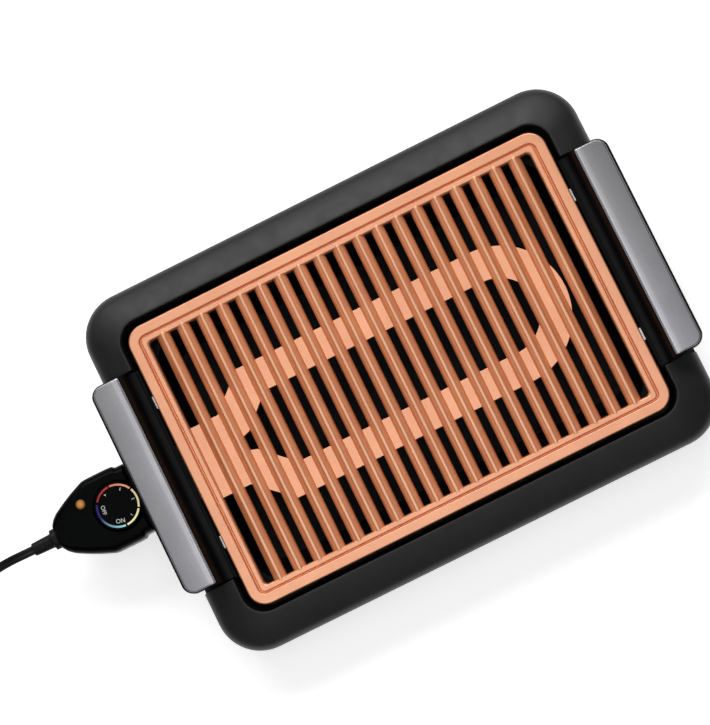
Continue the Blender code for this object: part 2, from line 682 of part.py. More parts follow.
def element_line():
    """The element's path: in from one cold end, round the bend, and back to the other."""
    end_x = -PLATE_LENGTH / 2 - ELEMENT_END_REACH
    pad = -PLATE_LENGTH / 2 + BOSS_LENGTH
    splay = pad + WEB_SPLAY_LENGTH * 1.6
    half = ELEMENT_END_SPACING / 2
    ease = WEB_SPLAY_LENGTH / 4
    side = [
        (end_x, half), (pad - ease, half), (pad, half + ease / 5), (splay - ease, WEB_RADIUS - ease / 3),
        (splay, WEB_RADIUS), (WEB_BEND_X, WEB_RADIUS),
    ]
    bend = arc((WEB_BEND_X, 0), WEB_RADIUS, 90, -90, 3 * CORNER_STEPS)
    line = side + bend[1:-1] + [(x, -y) for x, y in reversed(side)]
    return [(x, y, ELEMENT_Z) for x, y in line]


def terminal_boss():
    left = -PLATE_LENGTH / 2
    low = (left, -BOSS_HALF_WIDTH, ELEMENT_Z - BOSS_BELOW_ELEMENT)
    high = (left + BOSS_LENGTH, BOSS_HALF_WIDTH, ELEMENT_Z + BOSS_ABOVE_ELEMENT)
    return block("terminal_boss", low, high, PLATE, None)


def grill_plate():
    body = plate_frame()
    combine(body, plate_web(), "UNION")
    combine(body, plate_bars(), "UNION")
    combine(body, terminal_boss(), "UNION")
    groove = tube("element_groove", element_line(), ELEMENT_DIAMETER + 2 * SEAT_GAP, PLATE, None)
    combine(body, groove)
    left = -PLATE_LENGTH / 2
    bore = PROBE_DIAMETER + 2 * RUN_GAP
    start = (left - OVERRUN, 0, ELEMENT_Z)
    end = (left + PROBE_DEPTH_IN_PLATE + RUN_GAP, 0, ELEMENT_Z)
    combine(body, rod("probe_bore", start, end, bore, PLATE, None, SMALL_SIDES))
    return body


def terminals():
    """At each cold end of the element, a ceramic bead and the pin that the controller plugs onto."""
    face = -PLATE_LENGTH / 2 - ELEMENT_END_REACH - SEAT_GAP
    for number, side in enumerate((1, -1)):
        y = side * ELEMENT_END_SPACING / 2
        root = (face, y, ELEMENT_Z)
        back = (face - INSULATOR_LENGTH, y, ELEMENT_Z)
        name = f"terminal_insulator_{number + 1}"
        bead = rod(name, back, root, INSULATOR_DIAMETER, PLATE, CERAMIC, SMALL_SIDES)
        start, end = (back[0] - OVERRUN, y, ELEMENT_Z), (face + OVERRUN, y, ELEMENT_Z)
        bore = PIN_DIAMETER + 2 * SEAT_GAP
        combine(bead, rod(f"insulator_hole_{number}", start, end, bore, PLATE, None, SMALL_SIDES))
        tip = (face - PIN_LENGTH, y, ELEMENT_Z)
        rod(f"terminal_pin_{number + 1}", tip, root, PIN_DIAMETER, PLATE, STEEL, SMALL_SIDES)


def terminal_guard():
    """A sheet metal sleeve round the pins, into which the controller's tongue slides."""
    inner_y, inner_z = GUARD_HALF_WIDTH - GUARD_WALL, GUARD_HALF_HEIGHT - GUARD_WALL
    near = -PLATE_LENGTH / 2 - SEAT_GAP
    far = near - GUARD_LENGTH
    low = (far, -GUARD_HALF_WIDTH, ELEMENT_Z - GUARD_HALF_HEIGHT)
    high = (near, GUARD_HALF_WIDTH, ELEMENT_Z + GUARD_HALF_HEIGHT)
    sleeve = block("terminal_guard", low, high, PLATE, DARK_TRAY)
    low = (far - OVERRUN, -inner_y, ELEMENT_Z - inner_z)
    high = (near + OVERRUN, inner_y, ELEMENT_Z + inner_z)
    combine(sleeve, block("guard_bore", low, high, PLATE, None))
    return sleeve


def handle_outline():
    """The handle's section as (x, z): lip by the plate, scoop, flat top, skirt, and the leg below."""
    lip_low = PLATE_TOP_Z - HANDLE_LIP_BELOW_TOP
    lip_top = lip_low + HANDLE_LIP_THICKNESS
    lip_end = HANDLE_INNER_X + HANDLE_LIP_WIDTH
    skirt = CAP_SEAT_Z - HANDLE_SKIRT_DEPTH
    ridge = [
        (HANDLE_INNER_X + a * HANDLE_LIP_WIDTH, lip_low + b * HANDLE_LIP_THICKNESS)
        for a, b in LIP_RIDGE_SHARES
    ]
    scoop = [(lip_end + a * SCOOP_WIDTH, lip_top + b * (CAP_SEAT_Z - lip_top)) for a, b in SCOOP_SHARES]
    edge = CAP_THICKNESS
    outer = [
        (lip_end + SCOOP_WIDTH, CAP_SEAT_Z),
        (HANDLE_OUTER_X - edge / 2, CAP_SEAT_Z),
        (HANDLE_OUTER_X, CAP_SEAT_Z - edge / 2), (HANDLE_OUTER_X, skirt + edge / 2),
        (HANDLE_OUTER_X - edge / 2, skirt),
    ]
    leg = lip_end + HANDLE_LEG
    under = [
        (lip_end + SCOOP_WIDTH - HANDLE_WALL, skirt), (leg + HANDLE_WALL / 3, lip_top + HANDLE_WALL),
        (leg, lip_top), (leg, HANDLE_FOOT_Z), (lip_end, HANDLE_FOOT_Z), (lip_end, lip_low),
    ]
    return [(HANDLE_INNER_X, lip_low)] + ridge + scoop + outer + under


def handle_plan(side, growth=0.0):
    """The handle's outline from above: its two outer corners are rounded."""
    half = HANDLE_LENGTH / 2 - growth
    outer = HANDLE_OUTER_X - growth
    radius = HANDLE_CORNER - growth
    far = arc((outer - radius, half - radius), radius, 90, 0, CORNER_STEPS)
    near = arc((outer - radius, -half + radius), radius, 0, -90, CORNER_STEPS)
    return [(side * x, y) for x, y in far + near]


def handle(name, side):
    outline = handle_outline() if side > 0 else mirrored_x(handle_outline())
    body = section_solid(name, outline, HANDLE_LENGTH / 2, PLATE, SATIN_BLACK)
    inner = side * (HANDLE_INNER_X - OVERRUN)
    half = HANDLE_LENGTH / 2
    plan = [(inner, half), *handle_plan(side), (inner, -half)]
    low, high = HANDLE_FOOT_Z - OVERRUN, CAP_SEAT_Z + OVERRUN
    combine(body, plan_solid(f"{name}_plan", [plan], low, high, PLATE, None), "INTERSECT")
    skirt = CAP_SEAT_Z - HANDLE_SKIRT_DEPTH
    inner = side * (HANDLE_INNER_X + HANDLE_LIP_WIDTH + SCOOP_WIDTH - HANDLE_WALL / 3)
    hollow = [(inner, half - HANDLE_WALL), *handle_plan(side, HANDLE_WALL), (inner, HANDLE_WALL - half)]
    cut = plan_solid(f"{name}_hollow", [hollow], skirt - OVERRUN, CAP_SEAT_Z - HANDLE_WALL, PLATE, None)
    combine(body, cut)
    if side < 0:
        width = GUARD_HALF_WIDTH + RUN_GAP
        lip_end = HANDLE_INNER_X + HANDLE_LIP_WIDTH
        low = (-lip_end - HANDLE_LEG - OVERRUN, -width, HANDLE_FOOT_Z - OVERRUN)
        high = (-lip_end + OVERRUN, width, ELEMENT_Z + GUARD_HALF_HEIGHT + SEAT_GAP)
        combine(body, block("guard_window", low, high, PLATE, None))
    return body


def handle_cap(name, side):
    """The glossy strip on top of a handle, with rounded upper edges."""
    inner = HANDLE_INNER_X + HANDLE_LIP_WIDTH + SCOOP_WIDTH
    half = HANDLE_LENGTH / 2 - CAP_EDGE
    low = CAP_SEAT_Z + SEAT_GAP
    plan = [(side * inner, half)]
    for x, y in handle_plan(side, CAP_INSET):
        plan.append((x, math.copysign(min(abs(y) + CAP_INSET - CAP_EDGE, half), y)))
    plan.append((side * inner, -half))
    body = plan_solid(name, [plan], low, low + CAP_THICKNESS, PLATE, GUNMETAL)
    soften = body.modifiers.new("edge", "BEVEL")
    soften.width = CAP_EDGE
    soften.segments = EDGE_SEGMENTS
    soften.limit_method = "ANGLE"
    soften.angle_limit = math.radians(50)
    return body


def handle_bracket(number, side, y):
    """A bent strip: one leg under the plate's lip, the other down inside the handle's leg."""
    top = PLATE_TOP_Z - RIM_LIP_DEPTH - SEAT_GAP
    inner = PLATE_LENGTH / 2 - BRACKET_UNDER_PLATE
    outer = HANDLE_INNER_X + HANDLE_LIP_WIDTH - SEAT_GAP
    outline = [
        (inner, top), (outer, top), (outer, top - BRACKET_LEG), (outer - BRACKET_SHEET, top - BRACKET_LEG),
        (outer - BRACKET_SHEET, top - BRACKET_SHEET), (inner, top - BRACKET_SHEET),
    ]
    if side < 0:
        outline = mirrored_x(outline)
    strip = section_solid(f"handle_bracket_{number}", outline, BRACKET_WIDTH / 2, PLATE, STEEL)
    strip.location.y = y
    hole = BRACKET_SCREW_DIAMETER + 2 * SEAT_GAP
    z = top - BRACKET_LEG / 2 - BRACKET_SHEET / 2
    reach = side * (outer + OVERRUN)
    combine(strip, rod(f"bracket_hole_{number}", (0, y, z), (reach, y, z), hole, PLATE, None, SMALL_SIDES))


def bracket_screw(number, side, y):
    """A pan-head screw from inside the bracket into the handle's leg."""
    top = PLATE_TOP_Z - RIM_LIP_DEPTH - SEAT_GAP
    z = top - BRACKET_LEG / 2 - BRACKET_SHEET / 2
    seat = HANDLE_INNER_X + HANDLE_LIP_WIDTH - BRACKET_SHEET - 2 * SEAT_GAP
    length = BRACKET_SHEET + SEAT_GAP + HANDLE_LEG
    head, shank = BRACKET_SCREW_HEAD / 2, BRACKET_SCREW_DIAMETER / 2
    height = BRACKET_SCREW_HEAD_HEIGHT
    profile = [
        (0, height), (head - height / 2, height), (head, height / 3), (head, 0), (shank, 0), (shank, -length),
        (0, -length),
    ]
    turn = (0, -side * math.pi / 2, 0)
    turned(f"bracket_screw_{number}", profile, PLATE, STEEL, SMALL_SIDES, (side * seat, y, z), turn)


def bracket_places():
    return [(side, BRACKET_SPREAD / 2 * end) for side in (-1, 1) for end in (-1, 1)]


def bracket_screw_holes(name, side):
    """Pilot holes for the bracket screws, through a handle's leg."""
    body = bpy.data.objects[name]
    top = PLATE_TOP_Z - RIM_LIP_DEPTH - SEAT_GAP
    z = top - BRACKET_LEG / 2 - BRACKET_SHEET / 2
    start = HANDLE_INNER_X + HANDLE_LIP_WIDTH - OVERRUN
    end = HANDLE_INNER_X + HANDLE_LIP_WIDTH + HANDLE_LEG + OVERRUN
    for place, y in bracket_places():
        if place == side:
            hole = BRACKET_SCREW_DIAMETER + 2 * SEAT_GAP
            low, high = (side * start, y, z), (side * end, y, z)
            combine(body, rod(f"{name}_pilot_{y:.3f}", low, high, hole, PLATE, None, SMALL_SIDES))


def controller_ring(inset, z):
    """The controller's outline at one height, drawn in by inset: blunt nose, tapering to the lead."""
    near, far = [], []
    last = len(CONTROLLER_OUTLINE_SHARES) - 1
    for step, (along, half_share) in enumerate(CONTROLLER_OUTLINE_SHARES):
        x = -NOSE_X - CONTROLLER_LENGTH * along
        if step == 0:
            x -= inset / 3
        if step == last:
            x += inset / 2
        half = max(CONTROLLER_WIDTH / 2 * half_share - inset, CONTROLLER_WALL)
        far.append(Vector((x, half, z)))
        near.append(Vector((x, -half, z)))
    return far + near[::-1]


def shell_rings(shares, start, height, inset):
    """Rings from the parting plane out to the flat face, drawn in towards it."""
    return [controller_ring(CONTROLLER_EDGE * draw + inset, start + height * rise) for rise, draw in shares]


def controller_shell(name, height, direction):
    start = ELEMENT_Z + direction * SEAT_GAP / 2
    outside = shell_rings(SHELL_EDGE_SHARES, start, direction * height, 0)
    body = loft(name, outside, CONTROLLER, GLOSS_BLACK)
    depth = direction * (height - CONTROLLER_WALL + OVERRUN)
    inside = shell_rings(SHELL_INNER_SHARES, start - direction * OVERRUN, depth, CONTROLLER_WALL)
    combine(body, loft(f"{name}_hollow", inside, CONTROLLER, None))
    return body


def controller_openings(body):
    """The window for the nose block's tenon, and the hole for the strain relief's neck."""
    half_y, half_z = TENON_HALF_WIDTH + SEAT_GAP, TENON_HALF_HEIGHT + SEAT_GAP
    low = (-NOSE_X - TENON_LENGTH, -half_y, ELEMENT_Z - half_z)
    high = (-NOSE_X + OVERRUN, half_y, ELEMENT_Z + half_z)
    combine(body, block(f"{body.name}_window", low, high, CONTROLLER, None))
    start = (-CONTROLLER_END_X + RELIEF_NECK_LENGTH, 0, ELEMENT_Z)
    end = (-CONTROLLER_END_X - OVERRUN, 0, ELEMENT_Z)
    neck = RELIEF_NECK_DIAMETER + 2 * SEAT_GAP
    combine(body, rod(f"{body.name}_neck", start, end, neck, CONTROLLER, None, SMALL_SIDES))


def shell_screw_places():
    x = -NOSE_X - SHELL_SCREW_BACK_SHARE * CONTROLLER_LENGTH
    return [(x, side * SHELL_SCREW_ASIDE) for side in (-1, 1)]


def controller_top():
    body = controller_shell("controller_top", CONTROLLER_ABOVE, 1)
    top = ELEMENT_Z + CONTROLLER_ABOVE
    for number, (x, y) in enumerate(shell_screw_places()):
        low = ELEMENT_Z + SEAT_GAP / 2
        start, end = (x, y, low), (x, y, top - CONTROLLER_WALL / 2)
        combine(body, rod(f"top_post_{number}", start, end, SHELL_POST_DIAMETER, CONTROLLER, None), "UNION")
        start, end = (x, y, low - OVERRUN), (x, y, low + SHELL_SCREW_ENGAGEMENT + SEAT_GAP)
        bore = SHELL_SCREW_DIAMETER + 2 * SEAT_GAP
        combine(body, rod(f"top_pilot_{number}", start, end, bore, CONTROLLER, None, SMALL_SIDES))
    controller_openings(body)
    recess = DIAL_DIAMETER + 2 * RUN_GAP
    above, floor = top + OVERRUN, top - DIAL_RECESS
    combine(body, rod("dial_recess", (-DIAL_X, 0, floor), (-DIAL_X, 0, above), recess, CONTROLLER, None))
    shaft = SHAFT_DIAMETER + 2 * RUN_GAP
    inside = top - 3 * CONTROLLER_WALL
    start, end = (-DIAL_X, 0, inside), (-DIAL_X, 0, above)
    combine(body, rod("shaft_hole", start, end, shaft, CONTROLLER, None, SMALL_SIDES))
    x, y = lens_place()
    lens = LENS_DIAMETER + 2 * SEAT_GAP
    combine(body, rod("lens_hole", (x, y, inside), (x, y, above), lens, CONTROLLER, None, SMALL_SIDES))
    return body


def controller_bottom():
    body = controller_shell("controller_bottom", CONTROLLER_BELOW, -1)
    bottom = ELEMENT_Z - CONTROLLER_BELOW
    for number, (x, y) in enumerate(shell_screw_places()):
        high = ELEMENT_Z - SEAT_GAP / 2
        start, end = (x, y, bottom + CONTROLLER_WALL / 2), (x, y, high)
        combine(body, rod(f"post_{number}", start, end, SHELL_POST_DIAMETER, CONTROLLER, None), "UNION")
        start, end = (x, y, bottom), (x, y, high + OVERRUN)
        bore = SHELL_SCREW_DIAMETER + 2 * SEAT_GAP
        combine(body, rod(f"pass_{number}", start, end, bore, CONTROLLER, None, SMALL_SIDES))
        start, end = (x, y, bottom - OVERRUN), (x, y, bottom + 2 * SHELL_SCREW_HEAD_HEIGHT)
        head = SHELL_SCREW_HEAD + 2 * SEAT_GAP
        combine(body, rod(f"sink_{number}", start, end, head, CONTROLLER, None, SMALL_SIDES))
    controller_openings(body)
    return body


def shell_screw(number, x, y):
    seat = ELEMENT_Z - CONTROLLER_BELOW + 2 * SHELL_SCREW_HEAD_HEIGHT - SEAT_GAP
    length = ELEMENT_Z + SHELL_SCREW_ENGAGEMENT - seat
    head, shank = SHELL_SCREW_HEAD / 2, SHELL_SCREW_DIAMETER / 2
    height = SHELL_SCREW_HEAD_HEIGHT
    profile = [
        (0, length), (shank, length), (shank, 0), (head, 0), (head, -height / 2),
        (head - height / 3, -height), (0, -height),
    ]
    turned(f"controller_screw_{number}", profile, CONTROLLER, STEEL, SMALL_SIDES, (x, y, seat))


def nose_block():
    """The heat-resisting block at the socket: tenon behind, tongue in front, three bores."""
    half_y = CONTROLLER_WIDTH / 2 - NOSE_INSET
    low = (-NOSE_X + SEAT_GAP, -half_y, ELEMENT_Z - NOSE_HALF_HEIGHT)
    high = (-NOSE_X + NOSE_DEPTH, half_y, ELEMENT_Z + NOSE_HALF_HEIGHT)
    body = block("nose_block", low, high, CONTROLLER, PHENOLIC, NOSE_EDGE)
    low = (-NOSE_X - TENON_LENGTH + SEAT_GAP, -TENON_HALF_WIDTH, ELEMENT_Z - TENON_HALF_HEIGHT)
    high = (-NOSE_X + OVERRUN, TENON_HALF_WIDTH, ELEMENT_Z + TENON_HALF_HEIGHT)
    combine(body, block("tenon", low, high, CONTROLLER, None), "UNION")
    half_y = GUARD_HALF_WIDTH - GUARD_WALL - RUN_GAP
    tip = -NOSE_X + NOSE_DEPTH + TONGUE_LENGTH
    low = (-NOSE_X + NOSE_DEPTH - OVERRUN, -half_y, ELEMENT_Z - TONGUE_HALF_HEIGHT)
    high = (tip, half_y, ELEMENT_Z + TONGUE_HALF_HEIGHT)
    combine(body, block("tongue", low, high, CONTROLLER, None), "UNION")
    for number, side in enumerate((1, -1)):
        y = side * ELEMENT_END_SPACING / 2
        bore = PIN_DIAMETER + 2 * RUN_GAP + 2 * SLEEVE_WALL + 2 * SEAT_GAP
        back = (tip - SLEEVE_LENGTH - 2 * SEAT_GAP, y, ELEMENT_Z)
        front = (tip + OVERRUN, y, ELEMENT_Z)
        combine(body, rod(f"sleeve_bore_{number}", back, front, bore, CONTROLLER, None, SMALL_SIDES))
    back, front = (tip - SLEEVE_LENGTH, 0, ELEMENT_Z), (tip + OVERRUN, 0, ELEMENT_Z)
    bore = PROBE_DIAMETER + 2 * SEAT_GAP
    combine(body, rod("probe_seat", back, front, bore, CONTROLLER, None, SMALL_SIDES))
    return tip


def contact_sleeves(tip):
    bore = PIN_DIAMETER + 2 * RUN_GAP
    for number, side in enumerate((1, -1)):
        y = side * ELEMENT_END_SPACING / 2
        start, end = (tip - SLEEVE_LENGTH, y, ELEMENT_Z), (tip - SEAT_GAP, y, ELEMENT_Z)
        outer = bore + 2 * SLEEVE_WALL
        sleeve = rod(f"contact_sleeve_{number + 1}", start, end, outer, CONTROLLER, BRASS, SMALL_SIDES)
        start, end = (start[0] - OVERRUN, y, ELEMENT_Z), (end[0] + OVERRUN, y, ELEMENT_Z)
        combine(sleeve, rod(f"sleeve_hole_{number}", start, end, bore, CONTROLLER, None, SMALL_SIDES))


def temperature_probe(tip):
    """A closed steel tube with a round end, which reaches into the plate's casting."""
    start = tip - SLEEVE_LENGTH + SEAT_GAP
    end = -PLATE_LENGTH / 2 + PROBE_DEPTH_IN_PLATE
    radius = PROBE_DIAMETER / 2
    length = end - start
    profile = [(0, length), (radius / 2, length - radius / 7), (radius, length - radius), (radius, 0), (0, 0)]
    place = (start, 0, ELEMENT_Z)
    turned("temperature_probe", profile, CONTROLLER, STEEL, SMALL_SIDES, place, (0, math.pi / 2, 0))


def lens_place():
    return -LENS_X, LENS_ASIDE_SHARE * CONTROLLER_WIDTH / 2


def thermostat_switch():
    low = (-SWITCH_END_X, -SWITCH_WIDTH / 2, ELEMENT_Z - SWITCH_HEIGHT / 2)
    high = (-NOSE_X - TENON_LENGTH, SWITCH_WIDTH / 2, ELEMENT_Z + SWITCH_HEIGHT / 2)
    return block("thermostat_switch", low, high, CONTROLLER, CERAMIC, BLADE_THICKNESS)


def indicator():
    x, y = lens_place()
    top = ELEMENT_Z + CONTROLLER_ABOVE
    radius = LENS_DIAMETER / 2
    under = top - CONTROLLER_WALL - SEAT_GAP
    flange = radius + LENS_FLANGE
    profile = [
        (0, top + LENS_DOME), (radius - 2 * LENS_DOME, top + LENS_DOME / 2), (radius, top), (radius, under),
        (flange, under), (flange, under - LENS_FLANGE), (0, under - LENS_FLANGE),
    ]
    turned("indicator_lens", profile, CONTROLLER, AMBER, SMALL_SIDES, (x, y, 0))
    high = under - LENS_FLANGE - SEAT_GAP
    rod("neon_lamp", (x, y, high - LAMP_LENGTH), (x, y, high), LAMP_DIAMETER, CONTROLLER, GLASS, SMALL_SIDES)


def dial():
    """A shallow knob with a rim, and the shaft that turns the thermostat; both turn about the dial's axis."""
    floor = ELEMENT_Z + CONTROLLER_ABOVE - DIAL_RECESS + SEAT_GAP
    top = floor + DIAL_HEIGHT
    low, high = DIAL_DIAMETER / 2, DIAL_TOP_DIAMETER / 2
    profile = [
        (0, top - DIAL_DISH), (high - DIAL_RIM, top - DIAL_DISH), (high - DIAL_RIM / 2, top),
        (high, top - DIAL_DISH),
        (low - DIAL_DISH, floor + DIAL_RIM), (low, floor + DIAL_RIM / 2), (low, floor), (0, floor),
    ]
    knob = turned("dial_knob", profile, DIAL, GLOSS_BLACK, KNOB_SIDES)
    bore_top = floor + DIAL_HEIGHT / 2
    bore = SHAFT_DIAMETER + 2 * SEAT_GAP
    start, end = (0, 0, floor - OVERRUN), (0, 0, bore_top)
    combine(knob, rod("shaft_socket", start, end, bore, DIAL, None, SMALL_SIDES))
    start, end = (0, 0, ELEMENT_Z + SWITCH_HEIGHT / 2 + SEAT_GAP), (0, 0, bore_top - SEAT_GAP)
    rod("dial_shaft", start, end, SHAFT_DIAMETER, DIAL, STEEL, SMALL_SIDES)


def oval_ring(x, half_y, half_z):
    turns = [2 * math.pi * i / SMALL_SIDES for i in range(SMALL_SIDES)]
    return [Vector((x, half_y * math.cos(a), ELEMENT_Z + half_z * math.sin(a))) for a in turns]


def strain_relief():
    """Neck in the shells, flat collar against them, and a sleeve that tapers to the cord."""
    end = -CONTROLLER_END_X
    neck = RELIEF_NECK_DIAMETER / 2
    collar_y, collar_z = RELIEF_COLLAR_WIDTH / 2, RELIEF_COLLAR_HEIGHT / 2
    collar_end = end - SEAT_GAP - RELIEF_COLLAR_LENGTH
    face = end - SEAT_GAP
    rings = [
        oval_ring(end + RELIEF_NECK_LENGTH - SEAT_GAP, neck, neck), oval_ring(face, neck, neck),
        oval_ring(face, collar_y, collar_z), oval_ring(collar_end, collar_y, collar_z),
    ]
    for along, width, height in RELIEF_SHARES:
        x = collar_end - RELIEF_SLEEVE_LENGTH * along
        rings.append(oval_ring(x, RELIEF_SLEEVE_WIDTH / 2 * width, RELIEF_SLEEVE_HEIGHT / 2 * height))
    return loft("strain_relief", rings, CONTROLLER, RUBBER)


def smooth_line(points, steps):
    """Points along a Catmull-Rom curve through a route's own points."""
    ends = [2 * points[0] - points[1], *points, 2 * points[-1] - points[-2]]
    line = []
    for a, b, c, d in zip(ends, ends[1:], ends[2:], ends[3:]):
        for i in range(steps):
            t = i / steps
            square, cube = 2 * a - 5 * b + 4 * c - d, 3 * b - a - 3 * c + d
            line.append((2 * b + (c - a) * t + square * t**2 + cube * t**3) / 2)
    return line + [points[-1]]


def flat_cord(name, line, surface):
    """A flat twin cord laid along a line, its width kept level."""
    rings = []
    for i, place in enumerate(line):
        ahead = (line[min(i + 1, len(line) - 1)] - line[max(i - 1, 0)]).normalized()
        across = Vector((0, 0, 1)).cross(ahead).normalized() * (CORD_WIDTH / 2)
        above = ahead.cross(across).normalized() * (CORD_THICKNESS / 2)
        rings.append([place + across * a + above * b for a, b in CORD_SHARES])
    return loft(name, rings, CONTROLLER, surface)


def coil_start():
    """Where the cord's route ends and its first turn begins."""
    x, y, _ = CORD_ROUTE[-1]
    return Vector((x * MM, y * MM, CORD_THICKNESS / 2 + SEAT_GAP))


def coil_line():
    """One unbroken stack of turns, each climbing onto the last before it crosses the cord that comes in."""
    start = coil_start()
    centre = start + Vector((-CORD_WIDTH, COIL_RADIUS, 0))
    line = [start + Vector((-SEAT_GAP, 0, 0)), start + Vector((-CORD_WIDTH, 0, 0))]
    climb, top = COIL_CLIMB_SHARES
    for i in range(1, round(COIL_TURNS * COIL_STEPS_PER_TURN) + 1):
        turned_by = i / COIL_STEPS_PER_TURN
        layer = math.floor(turned_by)
        risen = min(max((turned_by - layer - climb) / (top - climb), 0), 1)
        lift = COIL_LAYER * (layer + (1 - math.cos(math.pi * risen)) / 2)
        angle = -math.pi / 2 - 2 * math.pi * turned_by
        line.append(centre + Vector((COIL_RADIUS * math.cos(angle), COIL_RADIUS * math.sin(angle), lift)))
    last = line[-1]
    drop = last.z - PLUG_THICKNESS / 2 - SEAT_GAP
    for along, down in COIL_TAIL_SHARES:
        line.append(last + Vector((COIL_TAIL * along, 0, -drop * down)))
    return line


def least_gap(coil):
    """The least gap between stretches of the coil that aren't neighbours, from its corners to its faces."""
    corners = [vertex.co for vertex in coil.data.vertices]
    faces = [tuple(face.vertices) for face in coil.data.polygons]
    tree = BVHTree.FromPolygons(corners, faces)
    apart = len(CORD_SHARES) * COIL_STEPS_PER_TURN / 3
    least = COIL_RADIUS
    for i, corner in enumerate(corners):
        for _, _, face, distance in tree.find_nearest_range(corner, COIL_LAYER):
            if min(abs(i - other) for other in faces[face]) > apart:
                least = min(least, distance)
    return least


def plug(line):
    """A two-blade plug at the coil's end, lying flat on the surface."""
    end = line[-1]
    ahead = (line[-1] - line[-2]).normalized()
    turn = Matrix.Translation((end.x, end.y, 0)) @ Matrix.Rotation(math.atan2(ahead.y, ahead.x), 4, "Z")
    middle = end.z
    rings = []
    total = PLUG_NECK_LENGTH + PLUG_LENGTH
    for along, width, height in PLUG_SHARES:
        x = SEAT_GAP + total * along
        half_y, half_z = PLUG_WIDTH / 2 * width, PLUG_THICKNESS / 2 * height
        oval = [Vector((x, half_y * math.cos(a), middle + half_z * math.sin(a))) for a in SIDE_TURNS]
        rings.append([turn @ point for point in oval])
    body = loft("plug_body", rings, CONTROLLER, RUBBER)
    face = SEAT_GAP + total
    for number, side in enumerate((1, -1)):
        y = side * BLADE_SPACING / 2
        half_y, half_z = BLADE_THICKNESS / 2, BLADE_WIDTH / 2
        low = (face - BLADE_SUNK, y - half_y, middle - half_z)
        high = (face + BLADE_LENGTH, y + half_y, middle + half_z)
        blade = block(f"plug_blade_{number + 1}", low, high, CONTROLLER, BRASS)
        blade.data.transform(turn)
        gap = Vector((SEAT_GAP, SEAT_GAP, SEAT_GAP))
        slot = block(f"blade_slot_{number}", Vector(low) - gap, Vector(high) + gap, CONTROLLER, None)
        slot.data.transform(turn)
        combine(body, slot)


clear_scene()
PARTS = collection("smokeless_indoor_grill")
CUTTERS = collection("cutters", hidden=True)
SIDE_TURNS = [2 * math.pi * i / SMALL_SIDES for i in range(SMALL_SIDES)]

BASE = empty("base_frame", place=(CENTRE_SHIFT, 0, 0))
TRAY = empty("tray_lift", BASE)
PLATE = empty("plate_lift", TRAY)
CONTROLLER = empty("controller_unplug", PLATE)
DIAL = empty("dial_turn", CONTROLLER, (-DIAL_X, 0, 0))

SATIN_BLACK = material("satin_black_plastic", (0.018, 0.018, 0.02), 0.42)
GUNMETAL = material("gunmetal_strip", (0.24, 0.24, 0.26), 0.28, 0.7)
GLOSS_BLACK = material("gloss_black_plastic", (0.012, 0.012, 0.014), 0.12)
PHENOLIC = material("black_phenolic", (0.02, 0.02, 0.02), 0.5)
RUBBER = material("black_rubber", (0.02, 0.02, 0.02), 0.7)
COPPER = material("copper_nonstick", (0.72, 0.35, 0.2), 0.42, 0.35)
DARK_TRAY = material("dark_tray_coating", (0.05, 0.05, 0.055), 0.45, 0.2)
STEEL = material("stainless_steel", (0.6, 0.6, 0.61), 0.28, 1.0)
BRASS = material("brass", (0.72, 0.55, 0.28), 0.3, 1.0)
CERAMIC = material("white_ceramic", (0.8, 0.78, 0.72), 0.5)
AMBER = material("amber_lens", (0.9, 0.45, 0.08), 0.2)
GLASS = material("lamp_glass", (0.9, 0.6, 0.4), 0.1)

base_housing()
for number, (x, y) in enumerate(foot_places()):
    foot(number + 1, x, y)
drip_tray()
grill_plate()
tube("heating_element", element_line(), ELEMENT_DIAMETER, PLATE, STEEL)
terminals()
terminal_guard()
for name, side in (("handle_left", -1), ("handle_right", 1)):
    handle(name, side)
    bracket_screw_holes(name, side)
    handle_cap(name.replace("handle", "handle_cap"), side)
for number, (side, y) in enumerate(bracket_places()):
    handle_bracket(number + 1, side, y)
    bracket_screw(number + 1, side, y)
controller_top()
controller_bottom()
for number, (x, y) in enumerate(shell_screw_places()):
    shell_screw(number + 1, x, y)
nose_tip = nose_block()
contact_sleeves(nose_tip)
temperature_probe(nose_tip)
thermostat_switch()
indicator()
dial()
strain_relief()
route = [Vector((x, y, z)) * MM for x, y, z in CORD_ROUTE]
flat_cord("cord_stretch", smooth_line(route, CORD_STEPS_PER_SPAN), RUBBER)
coil = coil_line()
cord_coil = flat_cord("cord_coil", coil, RUBBER)
plug(coil)
print(f"least gap in the coil {least_gap(cord_coil) / MM:.2f} mm")
length = sum((b - a).length for a, b in zip(coil, coil[1:])) + sum(
    (b - a).length for a, b in zip(route, route[1:])
)
print(f"cord length {length / MM:.0f} mm")
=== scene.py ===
"""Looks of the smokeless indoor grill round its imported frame: finer pieces, materials, light and camera.

Metres, +Z up, long side along X, as in the CAD. Outlines are worked out about the plate's middle."""

import json
import math

import bmesh
import bpy
from mathutils import Matrix, Vector


